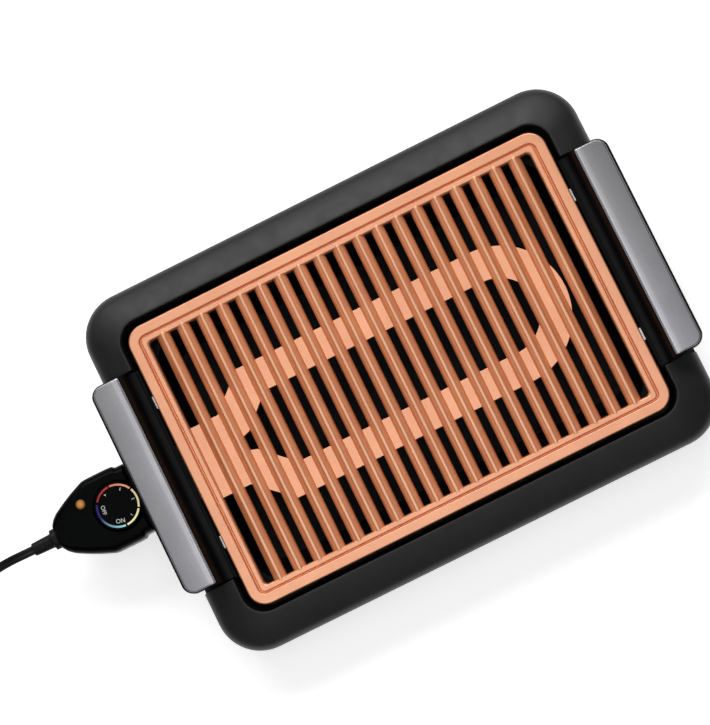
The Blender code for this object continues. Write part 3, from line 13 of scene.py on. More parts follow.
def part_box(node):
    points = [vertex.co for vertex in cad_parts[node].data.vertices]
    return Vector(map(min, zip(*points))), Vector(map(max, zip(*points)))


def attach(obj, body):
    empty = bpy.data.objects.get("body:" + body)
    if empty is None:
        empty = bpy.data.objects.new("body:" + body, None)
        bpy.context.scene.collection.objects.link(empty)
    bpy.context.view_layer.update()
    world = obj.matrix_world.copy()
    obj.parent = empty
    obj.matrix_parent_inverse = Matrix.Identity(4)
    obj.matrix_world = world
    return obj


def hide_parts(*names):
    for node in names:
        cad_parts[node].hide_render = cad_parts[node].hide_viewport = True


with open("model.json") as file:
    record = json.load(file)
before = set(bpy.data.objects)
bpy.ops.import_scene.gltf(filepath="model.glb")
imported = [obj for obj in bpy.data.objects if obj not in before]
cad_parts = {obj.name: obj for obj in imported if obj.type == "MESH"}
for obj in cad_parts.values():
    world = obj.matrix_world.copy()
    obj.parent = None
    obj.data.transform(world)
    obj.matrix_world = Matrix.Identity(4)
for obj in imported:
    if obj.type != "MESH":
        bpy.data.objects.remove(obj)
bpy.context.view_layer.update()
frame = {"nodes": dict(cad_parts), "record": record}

MM = 0.001
SEAT_GAP = 0.3 * MM
RUN_GAP = 0.5 * MM
OVERRUN = 2 * MM
MERGE = 0.005 * MM
CORNER_STEPS = 14
ROUND_SIDES = 48
SMALL_SIDES = 24
HALF_SPAN = 0.49
CORNERS = ((-1, -1), (-1, 1), (1, -1), (1, 1))

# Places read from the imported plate
PLATE_LOW, PLATE_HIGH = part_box("grill_plate")
CENTRE_X = (PLATE_LOW.x + PLATE_HIGH.x) / 2
PLATE_HALF_X = (PLATE_HIGH.x - PLATE_LOW.x) / 2
PLATE_HALF_Y = (PLATE_HIGH.y - PLATE_LOW.y) / 2
PLATE_TOP_Z = PLATE_HIGH.z

# Camera: the photograph's view, from a fit to the edges of rim, plate and handles
VIEW_TILTS = (-6.34, -2.68, -1.15)
VIEW_ROLL = -27.3
VIEW_PLACE = (-32.02 * MM, 22.29 * MM, 3330.04 * MM)
PHOTO_WIDTH_PX = 710
PHOTO_FOCAL_PX = 3612.6
SENSOR_WIDTH = 36
CLIP_END = 20

# Lead, with the route's points as in the CAD
CORD_WIDTH = 8.6 * MM
CORD_THICKNESS = 4.6 * MM
CORD_ROUTE = (
    (-379.1, 0, 58.4), (-390.4, 0.2, 58.3), (-402.4, 0.5, 56.3), (-414.4, 0.4, 51.2), (-424.9, -0.3, 43.8),
    (-434.4, -1.5, 34.6), (-443.4, -3.1, 25.4), (-452.9, -5, 16.8), (-463.4, -7, 9.8), (-474.9, -8.5, 5.2),
    (-486.4, -9.4, 3), (-496.4, -9.9, 2.6), (-505.4, -10, 2.6), (-512.4, -10, 2.6),
)
COIL_RADIUS = 45 * MM
COIL_LAYER = 5.6 * MM
COIL_TURNS = 2.5
COIL_CLIMB_SHARES = (0.625, 0.875)
COIL_TAIL = 52 * MM
COIL_TAIL_SHARES = ((0.2, 0), (0.45, 0), (0.62, 0.2), (0.82, 0.8), (1, 1))
COIL_STEPS_PER_TURN = 48
PLUG_THICKNESS = 19 * MM
LOBE_SHARES = ((1, 0), (0.93, 0.62), (0.74, 0.95), (0.5, 1), (0.26, 0.93), (0.09, 0.66))


def spline(points, steps):
    """Points along a Catmull-Rom curve through the given ones, of any dimension."""
    points = [Vector(point) for point in points]
    ends = [2 * points[0] - points[1], *points, 2 * points[-1] - points[-2]]
    line = []
    for a, b, c, d in zip(ends, ends[1:], ends[2:], ends[3:]):
        for i in range(steps):
            t = i / steps
            square, cube = 2 * a - 5 * b + 4 * c - d, 3 * b - a - 3 * c + d
            line.append((2 * b + (c - a) * t + square * t**2 + cube * t**3) / 2)
    return line + [points[-1]]


def arc(centre, radius, start, end, steps):
    """Points along an arc in a plane, angles in degrees."""
    turns = [math.radians(start + (end - start) * i / steps) for i in range(steps + 1)]
    return [(centre[0] + radius * math.cos(a), centre[1] + radius * math.sin(a)) for a in turns]


def mirrored(points):
    """The other half of an outline of pairs, with the second of each pair turned negative."""
    return [(x, -y) for x, y in reversed(points)]


def rectangle_ring(half_x, half_y, radius, z):
    """Points round a rectangle with rounded corners, at one height."""
    ring = []
    for quarter, (sx, sy) in enumerate(((1, 1), (-1, 1), (-1, -1), (1, -1))):
        for step in range(CORNER_STEPS + 1):
            angle = math.pi / 2 * (quarter + step / CORNER_STEPS)
            x = sx * (half_x - radius) + radius * math.cos(angle)
            y = sy * (half_y - radius) + radius * math.sin(angle)
            ring.append(Vector((x, y, z)))
    return ring


def eased(points, reach, steps=5):
    """A line of points of any dimension with its inner corners rounded off from a reach on both sides."""
    points = [Vector(point) for point in points]
    line = [points[0]]
    for before, corner, after in zip(points, points[1:], points[2:]):
        back, ahead = before - corner, after - corner
        start = corner + back.normalized() * min(reach, back.length * HALF_SPAN)
        end = corner + ahead.normalized() * min(reach, ahead.length * HALF_SPAN)
        for i in range(steps + 1):
            t = i / steps
            line.append(start * (1 - t) ** 2 + corner * 2 * t * (1 - t) + end * t**2)
    return line + [points[-1]]


def circle(radius, sides):
    turns = [2 * math.pi * i / sides for i in range(sides)]
    return [(radius * math.cos(a), radius * math.sin(a)) for a in turns]


def linked(name, data):
    made = bpy.data.objects.new(name, data)
    bpy.context.scene.collection.objects.link(made)
    return made


def from_bmesh(name, bm):
    """A new object from points about the plate's middle, set in the frame."""
    bmesh.ops.recalc_face_normals(bm, faces=bm.faces)
    bmesh.ops.translate(bm, verts=bm.verts, vec=(CENTRE_X, 0, 0))
    mesh = bpy.data.meshes.new(name)
    bm.to_mesh(mesh)
    bm.free()
    return linked(name, mesh)


def add_loft(bm, rings, closed=False):
    """Faces between rings of points, which are capped at both ends or closed on themselves."""
    rows = [[bm.verts.new(point) for point in ring] for ring in rings]
    pairs = list(zip(rows, rows[1:]))
    if closed:
        pairs.append((rows[-1], rows[0]))
    else:
        bm.faces.new(rows[0])
        bm.faces.new(rows[-1])
    for low, high in pairs:
        for i in range(len(low)):
            j = (i + 1) % len(low)
            bm.faces.new((low[i], low[j], high[j], high[i]))


def loft(name, rings, closed=False):
    bm = bmesh.new()
    add_loft(bm, rings, closed)
    return from_bmesh(name, bm)


def block(name, low, high):
    low, high = Vector(low), Vector(high)
    bm = bmesh.new()
    matrix = Matrix.Translation((low + high) / 2) @ Matrix.Diagonal((*(high - low), 1))
    bmesh.ops.create_cube(bm, size=1, matrix=matrix)
    return from_bmesh(name, bm)


def rod(name, start, end, diameter, sides=SMALL_SIDES):
    start, end = Vector(start), Vector(end)
    length, radius = (end - start).length, diameter / 2
    turn = (end - start).to_track_quat("Z", "Y").to_matrix().to_4x4()
    matrix = Matrix.Translation((start + end) / 2) @ turn
    bm = bmesh.new()
    bmesh.ops.create_cone(
        bm, cap_ends=True, segments=sides, radius1=radius, radius2=radius, depth=length, matrix=matrix,
    )
    return from_bmesh(name, bm)


def bore(start, end, diameter, gap=SEAT_GAP, sides=SMALL_SIDES):
    """A cutter for the hole round something of a diameter, with a gap to it."""
    return rod("bore", start, end, diameter + 2 * gap, sides)


def turned(name, profile, place, sides=ROUND_SIDES):
    """A solid of revolution from (radius, height) points that start and end on the axis."""
    bm = bmesh.new()
    matrix = Matrix.Translation((*place, 0))
    rows = []
    for radius, height in profile:
        ring = circle(radius, sides if radius > MERGE else 1)
        rows.append([bm.verts.new(matrix @ Vector((x, y, height))) for x, y in ring])
    for low, high in zip(rows, rows[1:]):
        for i in range(sides):
            j = (i + 1) % sides
            corners = [low[i % len(low)], low[j % len(low)], high[j % len(high)], high[i % len(high)]]
            bm.faces.new(list(dict.fromkeys(corners)))
    return from_bmesh(name, bm)


def plan_solid(name, outlines, low_z, high_z, edge=0.0):
    """A flat outline seen from above, with holes, standing between two heights."""
    lift = Matrix.Translation((0, 0, (low_z + high_z) / 2))
    return extruded(name, outlines, high_z - low_z, lift, edge)


def section_solid(name, outline, half_length, y=0.0):
    """An outline of (x, z) points, run along Y to half_length on both sides of y."""
    stand = Matrix.Translation((0, y, 0)) @ Matrix.Rotation(math.pi / 2, 4, "X")
    return extruded(name, [outline], 2 * half_length, stand)


def extruded(name, outlines, thickness, matrix, edge=0.0):
    """A solid over flat outlines, its edges rounded off by a radius inside the outline."""
    curve = bpy.data.curves.new(name, "CURVE")
    curve.dimensions = "2D"
    curve.fill_mode = "BOTH"
    curve.extrude = thickness / 2 - edge
    curve.bevel_depth = edge
    curve.bevel_resolution = 2
    curve.offset = -edge
    for outline in outlines:
        strip = curve.splines.new("POLY")
        strip.points.add(len(outline) - 1)
        for point, (x, y) in zip(strip.points, outline):
            point.co = (x, y, 0, 1)
        strip.use_cyclic_u = True
    return from_curve(name, curve, matrix, MERGE)


def from_curve(name, curve, matrix, merge):
    """A new object from a filled curve, its caps joined to its sides, set in place by a matrix."""
    guide = linked(name, curve)
    mesh = evaluated(guide)
    bpy.data.objects.remove(guide)
    bm = bmesh.new()
    bm.from_mesh(mesh)
    bpy.data.meshes.remove(mesh)
    bmesh.ops.remove_doubles(bm, verts=bm.verts, dist=merge)
    bmesh.ops.transform(bm, matrix=matrix, verts=bm.verts)
    return from_bmesh(name, bm)


def evaluated(made):
    bpy.context.view_layer.update()
    graph = bpy.context.evaluated_depsgraph_get()
    return bpy.data.meshes.new_from_object(made.evaluated_get(graph))


def apply_steps(made):
    """Makes an object's modifiers part of its mesh."""
    mesh = evaluated(made)
    made.modifiers.clear()
    made.data = mesh


def carve(made, tools, operation="DIFFERENCE"):
    """Cuts or joins tools and removes them."""
    for tool in tools:
        step = made.modifiers.new(tool.name, "BOOLEAN")
        step.operation = operation
        step.object = tool
        step.solver = "EXACT"
    apply_steps(made)
    for tool in tools:
        bpy.data.objects.remove(tool)


def soften(made, width, angle=40):
    """Rounds the edges that are sharper than an angle."""
    step = made.modifiers.new("edges", "BEVEL")
    step.width = width
    step.segments = 2
    step.limit_method = "ANGLE"
    step.angle_limit = math.radians(angle)
    step.miter_outer = "MITER_ARC"
    apply_steps(made)


def dress(made, body, slot, *nodes, look=None, sharp=35):
    """Shades a piece smooth, gives it its look and its body, and hides the nodes that it stands for."""
    mesh = made.data
    mesh.shade_smooth()
    mesh.set_sharp_from_angle(angle=math.radians(sharp))
    mesh.materials.clear()
    mesh.materials.append(look or LOOKS[slot])
    weigh = made.modifiers.new("normals", "WEIGHTED_NORMAL")
    weigh.keep_sharp = True
    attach(made, body)
    if nodes:
        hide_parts(*nodes)
    return made


# Materials

FULL_CIRCLE = 360
NOISE_ROUGHNESS = 0.55
DRIFT_RANGE = (0.35, 0.65)
GLOSS_RANGE = (0.3, 0.7)
# Glow of the dial's print: painted light, since the print is no lamp
PRINT_PAINTED_GLOW = 0.25
UNLIT_SHARE = 0.12


def feed(tree, made, feeds):
    """Gives a node's inputs their values, or links them to the outputs of other nodes."""
    for socket, value in feeds.items():
        if isinstance(value, bpy.types.NodeSocket):
            tree.links.new(value, made.inputs[socket])
        else:
            made.inputs[socket].default_value = value


def node(tree, kind, feeds, **settings):
    """A shader node of a kind, with its settings and what its inputs take."""
    made = tree.nodes.new(f"ShaderNode{kind}")
    for setting, value in settings.items():
        setattr(made, setting, value)
    feed(tree, made, feeds)
    return made


def shader_parts(made):
    made.use_nodes = True
    return made.node_tree, made.node_tree.nodes["Principled BSDF"]


def calculated(tree, operation, first, second=0.0):
    return node(tree, "Math", {0: first, 1: second}, operation=operation).outputs[0]


def object_place(tree):
    return node(tree, "TexCoord", {}).outputs["Object"]


def noise(tree, vector, scale, detail=3.0):
    feeds = {"Vector": vector, "Scale": scale, "Detail": detail, "Roughness": NOISE_ROUGHNESS}
    return node(tree, "TexNoise", feeds).outputs["Fac"]


def ramp(tree, factor, stops):
    """Colours along a factor, from (place, colour) stops."""
    made = node(tree, "ValToRGB", {"Fac": factor})
    elements = made.color_ramp.elements
    elements.remove(elements[1])
    elements[0].position = stops[0][0]
    elements[0].color = (*stops[0][1], 1)
    for place, color in stops[1:]:
        elements.new(place).color = (*color, 1)
    return made.outputs["Color"]


def mapped(tree, value, low, high, start, end, easing="LINEAR"):
    """A value brought from one range to another, held at its ends."""
    feeds = {"Value": value, "From Min": low, "From Max": high, "To Min": start, "To Max": end}
    return node(tree, "MapRange", feeds, interpolation_type=easing).outputs["Result"]


def mixed(tree, factor, first, second, blend="MIX"):
    """A mix of two colours, by the colour inputs of the node, which follow those for numbers and vectors."""
    made = node(tree, "Mix", {0: factor, 6: first, 7: second}, data_type="RGBA", blend_type=blend)
    return made.outputs[2]


def surface(
    name, colors, roughness, metallic=0.0, patch=30, grain=1400, relief_mm=0.02, stretch=(1, 1, 1),
    specular=0.5, coat=0.0, coat_roughness=0.1, coat_ior=1.5,
):
    """A material with slow drifts of colour, a worn spread of gloss and a fine grain in relief."""
    made = bpy.data.materials.new(name)
    tree, shader = shader_parts(made)
    vector = node(tree, "Mapping", {"Vector": object_place(tree), "Scale": stretch}).outputs["Vector"]
    drift = ramp(tree, noise(tree, vector, patch), list(zip(DRIFT_RANGE, colors)))
    gloss = mapped(tree, noise(tree, vector, 3 * patch), *GLOSS_RANGE, *roughness)
    relief = node(tree, "Bump", {"Height": noise(tree, vector, grain, 2.0), "Distance": relief_mm * MM})
    feeds = {
        "Base Color": drift, "Roughness": gloss, "Normal": relief.outputs["Normal"], "Metallic": metallic,
        "Specular IOR Level": specular, "Coat Weight": coat, "Coat Roughness": coat_roughness,
        "Coat IOR": coat_ior,
    }
    feed(tree, shader, feeds)
    return made


def glowing(name, color, strength, centre, radius):
    """An amber lens lit from below, brightest in its middle."""
    dim = tuple(UNLIT_SHARE * level for level in color)
    made = surface(name, (dim, dim), (0.3, 0.38), grain=900, relief_mm=0.01, specular=0.2)
    tree, shader = shader_parts(made)
    feeds = {0: object_place(tree), 1: centre}
    away = node(tree, "VectorMath", feeds, operation="DISTANCE").outputs["Value"]
    fade = mapped(tree, away, 0, radius, strength, 0, "SMOOTHERSTEP")
    feed(tree, shader, {"Emission Strength": fade, "Emission Color": (*color, 1)})
    return made


def strip_metal_painted_sheen(name, colors, sheen_stops, inner_x, width):
    """Dark glossy metal with a painted highlight by the strip's inner edge that fades to painted shade
    outwards, by (share of its width, level) stops.
    """
    made = surface(name, colors, (0.24, 0.31), 0.8, patch=12, grain=260, relief_mm=0.001)
    tree, shader = shader_parts(made)
    x = node(tree, "SeparateXYZ", {"Vector": object_place(tree)}).outputs["X"]
    away = calculated(tree, "ABSOLUTE", calculated(tree, "SUBTRACT", x, CENTRE_X))
    across = mapped(tree, away, inner_x, inner_x + width, 0, 1)
    # painted highlight and shade: levels across the strip's width, multiplied into its colour
    painted_sheen = ramp(tree, across, [(share, (level, level, level)) for share, level in sheen_stops])
    plain = shader.inputs["Base Color"].links[0].from_socket
    feed(tree, shader, {"Base Color": mixed(tree, 1, plain, painted_sheen, "MULTIPLY")})
    return made


def scale_paint(name, low, high, first, last, held):
    """Print that runs from one colour to another between two angles round the dial, after a held share; it
    also glows in its own colour as painted light.
    """
    made = surface(name, (first, first), (0.3, 0.38), grain=2000, relief_mm=0.004, specular=0.3)
    tree, shader = shader_parts(made)
    angle = math.radians(-(low + high) / 2)
    shift = -(Matrix.Rotation(angle, 3, "Z") @ in_frame(DIAL_X, 0, 0))
    feeds = {"Vector": object_place(tree), "Rotation": (0, 0, angle), "Location": shift}
    vector = node(tree, "Mapping", feeds).outputs["Vector"]
    around = node(tree, "TexGradient", {"Vector": vector}, gradient_type="RADIAL").outputs["Fac"]
    half = (high - low) / 2 / FULL_CIRCLE
    factor = mapped(tree, around, 0.5 - half + 2 * half * held, 0.5 + half, 0, 1)
    plain = shader.inputs["Base Color"].links[0].from_socket
    color = mixed(tree, factor, plain, (*last, 1))
    # the print glows in its own colour: painted light
    feed(tree, shader, {"Base Color": color, "Emission Color": color, "Emission Strength": PRINT_PAINTED_GLOW})
    return made


# Looks used beside their slot's own, then the looks by material slot

# A darker, duller copy of the satin black plastic for the handle bodies: painted shade for their dark scoops
SHADED_SCOOP_BLACK = surface(
    "shaded_scoop_black", ((0.002, 0.002, 0.0022), (0.0035, 0.0035, 0.0038)), (0.3, 0.38), patch=26, grain=900,
    relief_mm=0.01, specular=0.1,
)
WHITE_PRINT = surface(
    "white_print", ((0.72, 0.72, 0.7), (0.8, 0.8, 0.78)), (0.35, 0.45), grain=2000, relief_mm=0.004,
)
LOOKS = {
    "satin_black_plastic": surface(
        "satin_black", ((0.0045, 0.0045, 0.0047), (0.007, 0.007, 0.0073)), (0.42, 0.5), patch=26,
        grain=1100, specular=0.42,
    ),
    "gloss_black_plastic": surface(
        "gloss_black", ((0.0006, 0.0008, 0.001), (0.001, 0.0013, 0.0016)), (0.2, 0.28), patch=40,
        grain=300, relief_mm=0.004, specular=0.035,
    ),
    "black_phenolic": surface(
        "phenolic", ((0.008, 0.008, 0.008), (0.014, 0.013, 0.012)), (0.45, 0.6), grain=900, relief_mm=0.03,
        specular=0.25,
    ),
    "black_rubber": surface(
        "rubber", ((0.012, 0.012, 0.013), (0.018, 0.018, 0.019)), (0.5, 0.62), grain=1500, relief_mm=0.03,
    ),
    "black_pvc": surface(
        "pvc", ((0.005, 0.005, 0.0053), (0.008, 0.008, 0.0085)), (0.36, 0.46), grain=1600, relief_mm=0.012,
        specular=0.16,
    ),
    "copper_nonstick": surface(
        "copper_nonstick", ((0.85, 0.315, 0.12), (0.93, 0.37, 0.15)), (0.32, 0.4), 0.55, patch=22,
        grain=2200, coat=1, coat_roughness=0.3, coat_ior=2,
    ),
    "dark_tray_coating": surface(
        "tray_coating", ((0.003, 0.003, 0.0032), (0.006, 0.006, 0.0065)), (0.4, 0.5), grain=1300,
        relief_mm=0.03, specular=0.15,
    ),
    "stainless_steel": surface(
        "brushed_steel", ((0.56, 0.56, 0.57), (0.68, 0.68, 0.69)), (0.22, 0.34), 1.0, patch=60, grain=900,
        relief_mm=0.01, stretch=(1, 12, 12),
    ),
    "brass": surface(
        "bright_brass", ((0.68, 0.5, 0.24), (0.78, 0.6, 0.32)), (0.22, 0.34), 1.0, grain=800,
        relief_mm=0.01,
    ),
    "white_ceramic": surface(
        "white_ceramic", ((0.74, 0.72, 0.66), (0.82, 0.8, 0.75)), (0.4, 0.5), grain=900,
    ),
    "lamp_glass": surface(
        "lamp_glass", ((0.9, 0.55, 0.3), (0.95, 0.65, 0.4)), (0.08, 0.12), grain=300, relief_mm=0.004,
    ),
}


def in_frame(x, y, z):
    """A point given about the plate's middle, in the frame."""
    return Vector((x + CENTRE_X, y, z))


# Camera

def make_camera():
    view = Matrix.Identity(3)
    for tilt, axis in zip(VIEW_TILTS, "XYZ"):
        view = view @ Matrix.Rotation(math.radians(tilt), 3, axis)
    roll = Matrix.Rotation(math.radians(VIEW_ROLL), 3, "Z")
    data = bpy.data.cameras.new("camera")
    data.sensor_fit = "HORIZONTAL"
    data.sensor_width = SENSOR_WIDTH
    data.lens = SENSOR_WIDTH * PHOTO_FOCAL_PX / PHOTO_WIDTH_PX
    data.clip_end = CLIP_END
    made = linked("camera", data)
    place = view.transposed() @ Vector(VIEW_PLACE)
    middle = Matrix.Translation(in_frame(*place[:2], place.z + PLATE_TOP_Z))
    made.matrix_world = middle @ (view.transposed() @ roll).to_4x4()
    bpy.context.scene.camera = made


make_camera()


# Lead

def swept(line, section):
    """Copies of a section of (across, above) points along a line, kept level."""
    rings = []
    for i, place in enumerate(line):
        ahead = (line[min(i + 1, len(line) - 1)] - line[max(i - 1, 0)]).normalized()
        across = Vector((0, 0, 1)).cross(ahead).normalized()
        above = ahead.cross(across)
        rings.append([place + across * a + above * b for a, b in section])
    return rings


def cord_section():
    """A flat twin cord: two lobes with a groove between."""
    right = [*LOBE_SHARES]
    top = right + [(-a, b) for a, b in reversed(right[1:])] + [(-1, 0)]
    section = top + [(-a, -b) for a, b in top[1:-1]]
    return [(a * CORD_WIDTH / 2, b * CORD_THICKNESS / 2) for a, b in section]


def coil_line():
    """The coil's turns, worked out as in the CAD."""
    x, y, _ = CORD_ROUTE[-1]
    start = Vector((x * MM - CORD_WIDTH, y * MM, CORD_THICKNESS / 2 + SEAT_GAP))
    centre = start + Vector((0, COIL_RADIUS, 0))
    climb, top = COIL_CLIMB_SHARES
    line = [start + Vector((CORD_WIDTH / 2, 0, 0)), start]
    for i in range(1, round(COIL_TURNS * COIL_STEPS_PER_TURN) + 1):
        turned_by = i / COIL_STEPS_PER_TURN
        layer = math.floor(turned_by)
        risen = min(max((turned_by - layer - climb) / (top - climb), 0), 1)
        lift = COIL_LAYER * (layer + (1 - math.cos(math.pi * risen)) / 2)
        angle = -math.pi / 2 - 2 * math.pi * turned_by
        line.append(centre + Vector((COIL_RADIUS * math.cos(angle), COIL_RADIUS * math.sin(angle), lift)))
    last = line[-1]
    drop = last.z - PLUG_THICKNESS / 2 - SEAT_GAP
    tail = [last + Vector((COIL_TAIL * along, 0, -drop * down)) for along, down in COIL_TAIL_SHARES]
    return line + spline([last, *tail], 3)[1:]


# Base housing

PLATE_GAP = 6.4 * MM
RIM_WIDTH = 31.8 * MM
RIM_RISE = 5 * MM
RIM_FALL = 23 * MM
BASE_CORNER = 42 * MM
OPENING_CORNER = 22 * MM
SKIRT_Z = 6 * MM
SKIRT_DRAW_IN = 13 * MM
WELL_FLOOR_Z = 13 * MM
WELL_DRAFT = 5 * MM
BASE_WALL = 3 * MM
RIM_SHARES = (
    (-0.1, 0.86), (-0.04, 0.94), (0, 0.985), (0.04, 1), (0.2, 0.945), (0.45, 0.84), (0.7, 0.7), (0.84, 0.59),
    (0.92, 0.48), (0.97, 0.34), (0.993, 0.18),
)
SKIRT_SHARES = ((0, 1), (0.06, 0.8), (0.3, 0.42), (0.68, 0.1), (1, 0))
CAVITY_RIM_SHARES = ((0.88, 0.34), (0.7, 0.54), (0.45, 0.71), (0.2, 0.82))
REST_THICKNESS = 6 * MM
REST_UNDER_PLATE = 7 * MM
REST_EDGE_INSET = 1 * MM
REST_FALL = 20 * MM
REST_LONG_SHARES = (-0.35, 0, 0.35)
REST_END_SHARE = 0.41
RIM_LIP_DEPTH = 5.5 * MM
FOOT_INSET_X = 62.8 * MM
FOOT_INSET_Y = 58.8 * MM
FOOT_BOSS_DIAMETER = 30 * MM
NOTCH_GAP = 2 * MM
NOTCH_FLOOR_Z = 44 * MM
NOTCH_CORNER = 5 * MM
HANDLE_LENGTH = 212 * MM
BASE_EDGE = 0.7 * MM

RIM_CREST_Z = PLATE_TOP_Z + RIM_RISE
RIM_FOOT_Z = RIM_CREST_Z - RIM_FALL
OPENING_HALF_X = PLATE_HALF_X + PLATE_GAP
OPENING_HALF_Y = PLATE_HALF_Y + PLATE_GAP


def rim_height(share):
    return RIM_FOOT_Z + share * RIM_FALL


def base_ring(offset, z):
    growth = (BASE_CORNER - OPENING_CORNER) / RIM_WIDTH if offset > 0 else 1
    radius = OPENING_CORNER + offset * growth
    return rectangle_ring(OPENING_HALF_X + offset, OPENING_HALF_Y + offset, radius, z)


def skirt_stations(inset=0.0):
    return [
        (RIM_WIDTH - SKIRT_DRAW_IN * draw - inset, SKIRT_Z + (RIM_FOOT_Z - SKIRT_Z) * rise)
        for rise, draw in SKIRT_SHARES
    ]


def notch(side, growth):
    """The cutter for a handle's notch in the base, or with growth the wall round it."""
    half = HANDLE_LENGTH / 2 + NOTCH_GAP + growth
    floor = NOTCH_FLOOR_Z - growth
    radius = NOTCH_CORNER + growth
    top = RIM_CREST_Z + OVERRUN
    left = arc((-half + radius, floor + radius), radius, 180, 270, CORNER_STEPS)
    right = arc((half - radius, floor + radius), radius, 270, 360, CORNER_STEPS)
    inner = PLATE_HALF_X - OVERRUN - growth
    outer = OPENING_HALF_X + RIM_WIDTH + OVERRUN
    stand = Matrix.Rotation(math.pi / 2, 4, "Z") @ Matrix.Rotation(math.pi / 2, 4, "X")
    shift = Matrix.Translation((side * (inner + outer) / 2, 0, 0))
    return extruded("notch", [[(half, top), (-half, top)] + left + right], outer - inner, shift @ stand)


def foot_places():
    half_x = OPENING_HALF_X + RIM_WIDTH - FOOT_INSET_X
    half_y = OPENING_HALF_Y + RIM_WIDTH - FOOT_INSET_Y
    return [(side * half_x, end * half_y) for side, end in CORNERS]


def base_cavity():
    outer = skirt_stations(BASE_WALL)
    rim = [(RIM_WIDTH * share, rim_height(height)) for share, height in CAVITY_RIM_SHARES]
    well_top = (BASE_WALL, rim_height(CAVITY_RIM_SHARES[-1][1]))
    well_foot = (BASE_WALL - WELL_DRAFT, WELL_FLOOR_Z - BASE_WALL)
    below = SKIRT_Z - OVERRUN
    path = [(outer[0][0], below)] + outer + rim + [well_top, well_foot, (well_foot[0], below)]
    hollow = loft("base_hollow", [base_ring(*station) for station in path], closed=True)
    under = [base_ring(well_foot[0] + OVERRUN, z) for z in (below, well_foot[1])]
    carve(hollow, [loft("under_floor", under)], "UNION")
    kept = [notch(side, BASE_WALL) for side in (-1, 1)]
    for x, y in foot_places():
        start, end = (x, y, below - OVERRUN), (x, y, WELL_FLOOR_Z)
        kept.append(rod("foot_boss", start, end, FOOT_BOSS_DIAMETER, ROUND_SIDES))
    carve(hollow, kept)
    return hollow


def plate_rests():
    """Ribs on the wall of the well: the plate's lip rests on them, and they fall away beside it."""
    top = PLATE_TOP_Z - RIM_LIP_DEPTH - SEAT_GAP
    low = WELL_FLOOR_Z - BASE_WALL / 2
    spots = []
    for share in REST_LONG_SHARES:
        spots.append((PLATE_HALF_Y, OPENING_HALF_Y, math.pi / 2, 2 * PLATE_HALF_X * share))
    for share in (-REST_END_SHARE, REST_END_SHARE):
        spots.append((PLATE_HALF_X, OPENING_HALF_X, 0, 2 * PLATE_HALF_Y * share))
    rests = []
    for half, opening, turn, along in spots:
        inside, edge, outside = half - REST_UNDER_PLATE, half - REST_EDGE_INSET, opening + BASE_WALL / 2
        section = [(inside, low), (inside, top), (edge, top), (outside, top - REST_FALL), (outside, low)]
        for side in (0, math.pi):
            place = Matrix.Rotation(turn + side, 4, "Z")
            faces = (along - REST_THICKNESS / 2, along + REST_THICKNESS / 2)
            rings = [[place @ Vector((x, y, z)) for x, z in section] for y in faces]
            rests.append(loft("rest", rings))
    return rests


def make_base():
    rim = [(RIM_WIDTH * share, rim_height(height)) for share, height in reversed(RIM_SHARES)]
    path = [(min(offset, RIM_WIDTH), z) for offset, z in spline(skirt_stations() + rim, 3)]
    body = loft("base_shell", [base_ring(*station) for station in path])
    lip = dict(RIM_SHARES)[0]
    well = [
        (-WELL_DRAFT - BASE_WALL, WELL_FLOOR_Z), (-WELL_DRAFT - BASE_WALL / 3, WELL_FLOOR_Z + BASE_WALL / 3),
        (-WELL_DRAFT, WELL_FLOOR_Z + BASE_WALL), (0, rim_height(lip)), (0, RIM_CREST_Z + OVERRUN),
    ]
    carve(body, [loft("well", [base_ring(*station) for station in well])])
    carve(body, plate_rests(), "UNION")
    carve(body, [base_cavity()] + [notch(side, 0) for side in (-1, 1)])
    soften(body, BASE_EDGE)
    dress(body, "base", "satin_black_plastic", "base_housing")


make_base()


# Grill plate

RIM_BAND = 10 * MM
LEDGE_WIDTH = 8 * MM
LEDGE_DEPTH = 8.5 * MM
GROOVE_TOP_MM = (
    (9.1, 0), (9.6, 0.14), (10, 0.6), (10.5, 2.4), (10.9, 3.3), (11.4, 3.3), (11.8, 2.4), (12.15, 1.1),
    (12.45, 0.7), (12.8, 0.58),
)
LEDGE_TOP_MM = ((15.8, 0.58), (16.4, 0.72), (17, 1.2), (17.6, 2.4), (18, 4.25))
PLATE_CORNER = 17 * MM
BAR_COUNT = 19
BAR_END_INSET = 33.2 * MM
BAR_WIDTH = 13 * MM
BAR_DEPTH = 9.2 * MM
BAR_NOSE = 8 * MM
BAR_NOSE_DEPTH = 5 * MM
BAR_TIP_GAP = 1 * MM
BAR_HALF_WIDTH_SHARES = (
    (1, 1), (0.99, 0.78), (0.965, 0.6), (0.92, 0.5), (0.62, 0.24), (0.32, 0.06), (0.24, 0.025),
    (0.12, 0.003),
)
BAR_NOSE_SHARES = (
    (0, 0.3, 0.72), (0.06, 0.46, 0.52), (0.16, 0.62, 0.33), (0.32, 0.78, 0.17), (0.55, 0.91, 0.06),
    (0.8, 0.98, 0.01), (1, 1, 0),
)
WEB_TOP_DEPTH = 5.2 * MM
WEB_BOTTOM_DEPTH = 12 * MM
WEB_WIDTH = 30 * MM
WEB_RADIUS = 51.5 * MM
WEB_BEND_INSET = 109 * MM
WEB_PAD_HALF_WIDTH = 35.7 * MM
WEB_PAD_LENGTH = 32 * MM
WEB_SPLAY_LENGTH = 34 * MM
WEB_FORK_REACH = 7 * MM
WEB_FORK_HALF_WIDTH = 5 * MM
WEB_KNEE_REACH = 20 * MM
WEB_KNEE_HALF_WIDTH = 9 * MM
ELEMENT_DIAMETER = 6.8 * MM
ELEMENT_DEPTH = 11.6 * MM
ELEMENT_END_SPACING = 34 * MM
ELEMENT_END_REACH = 4 * MM
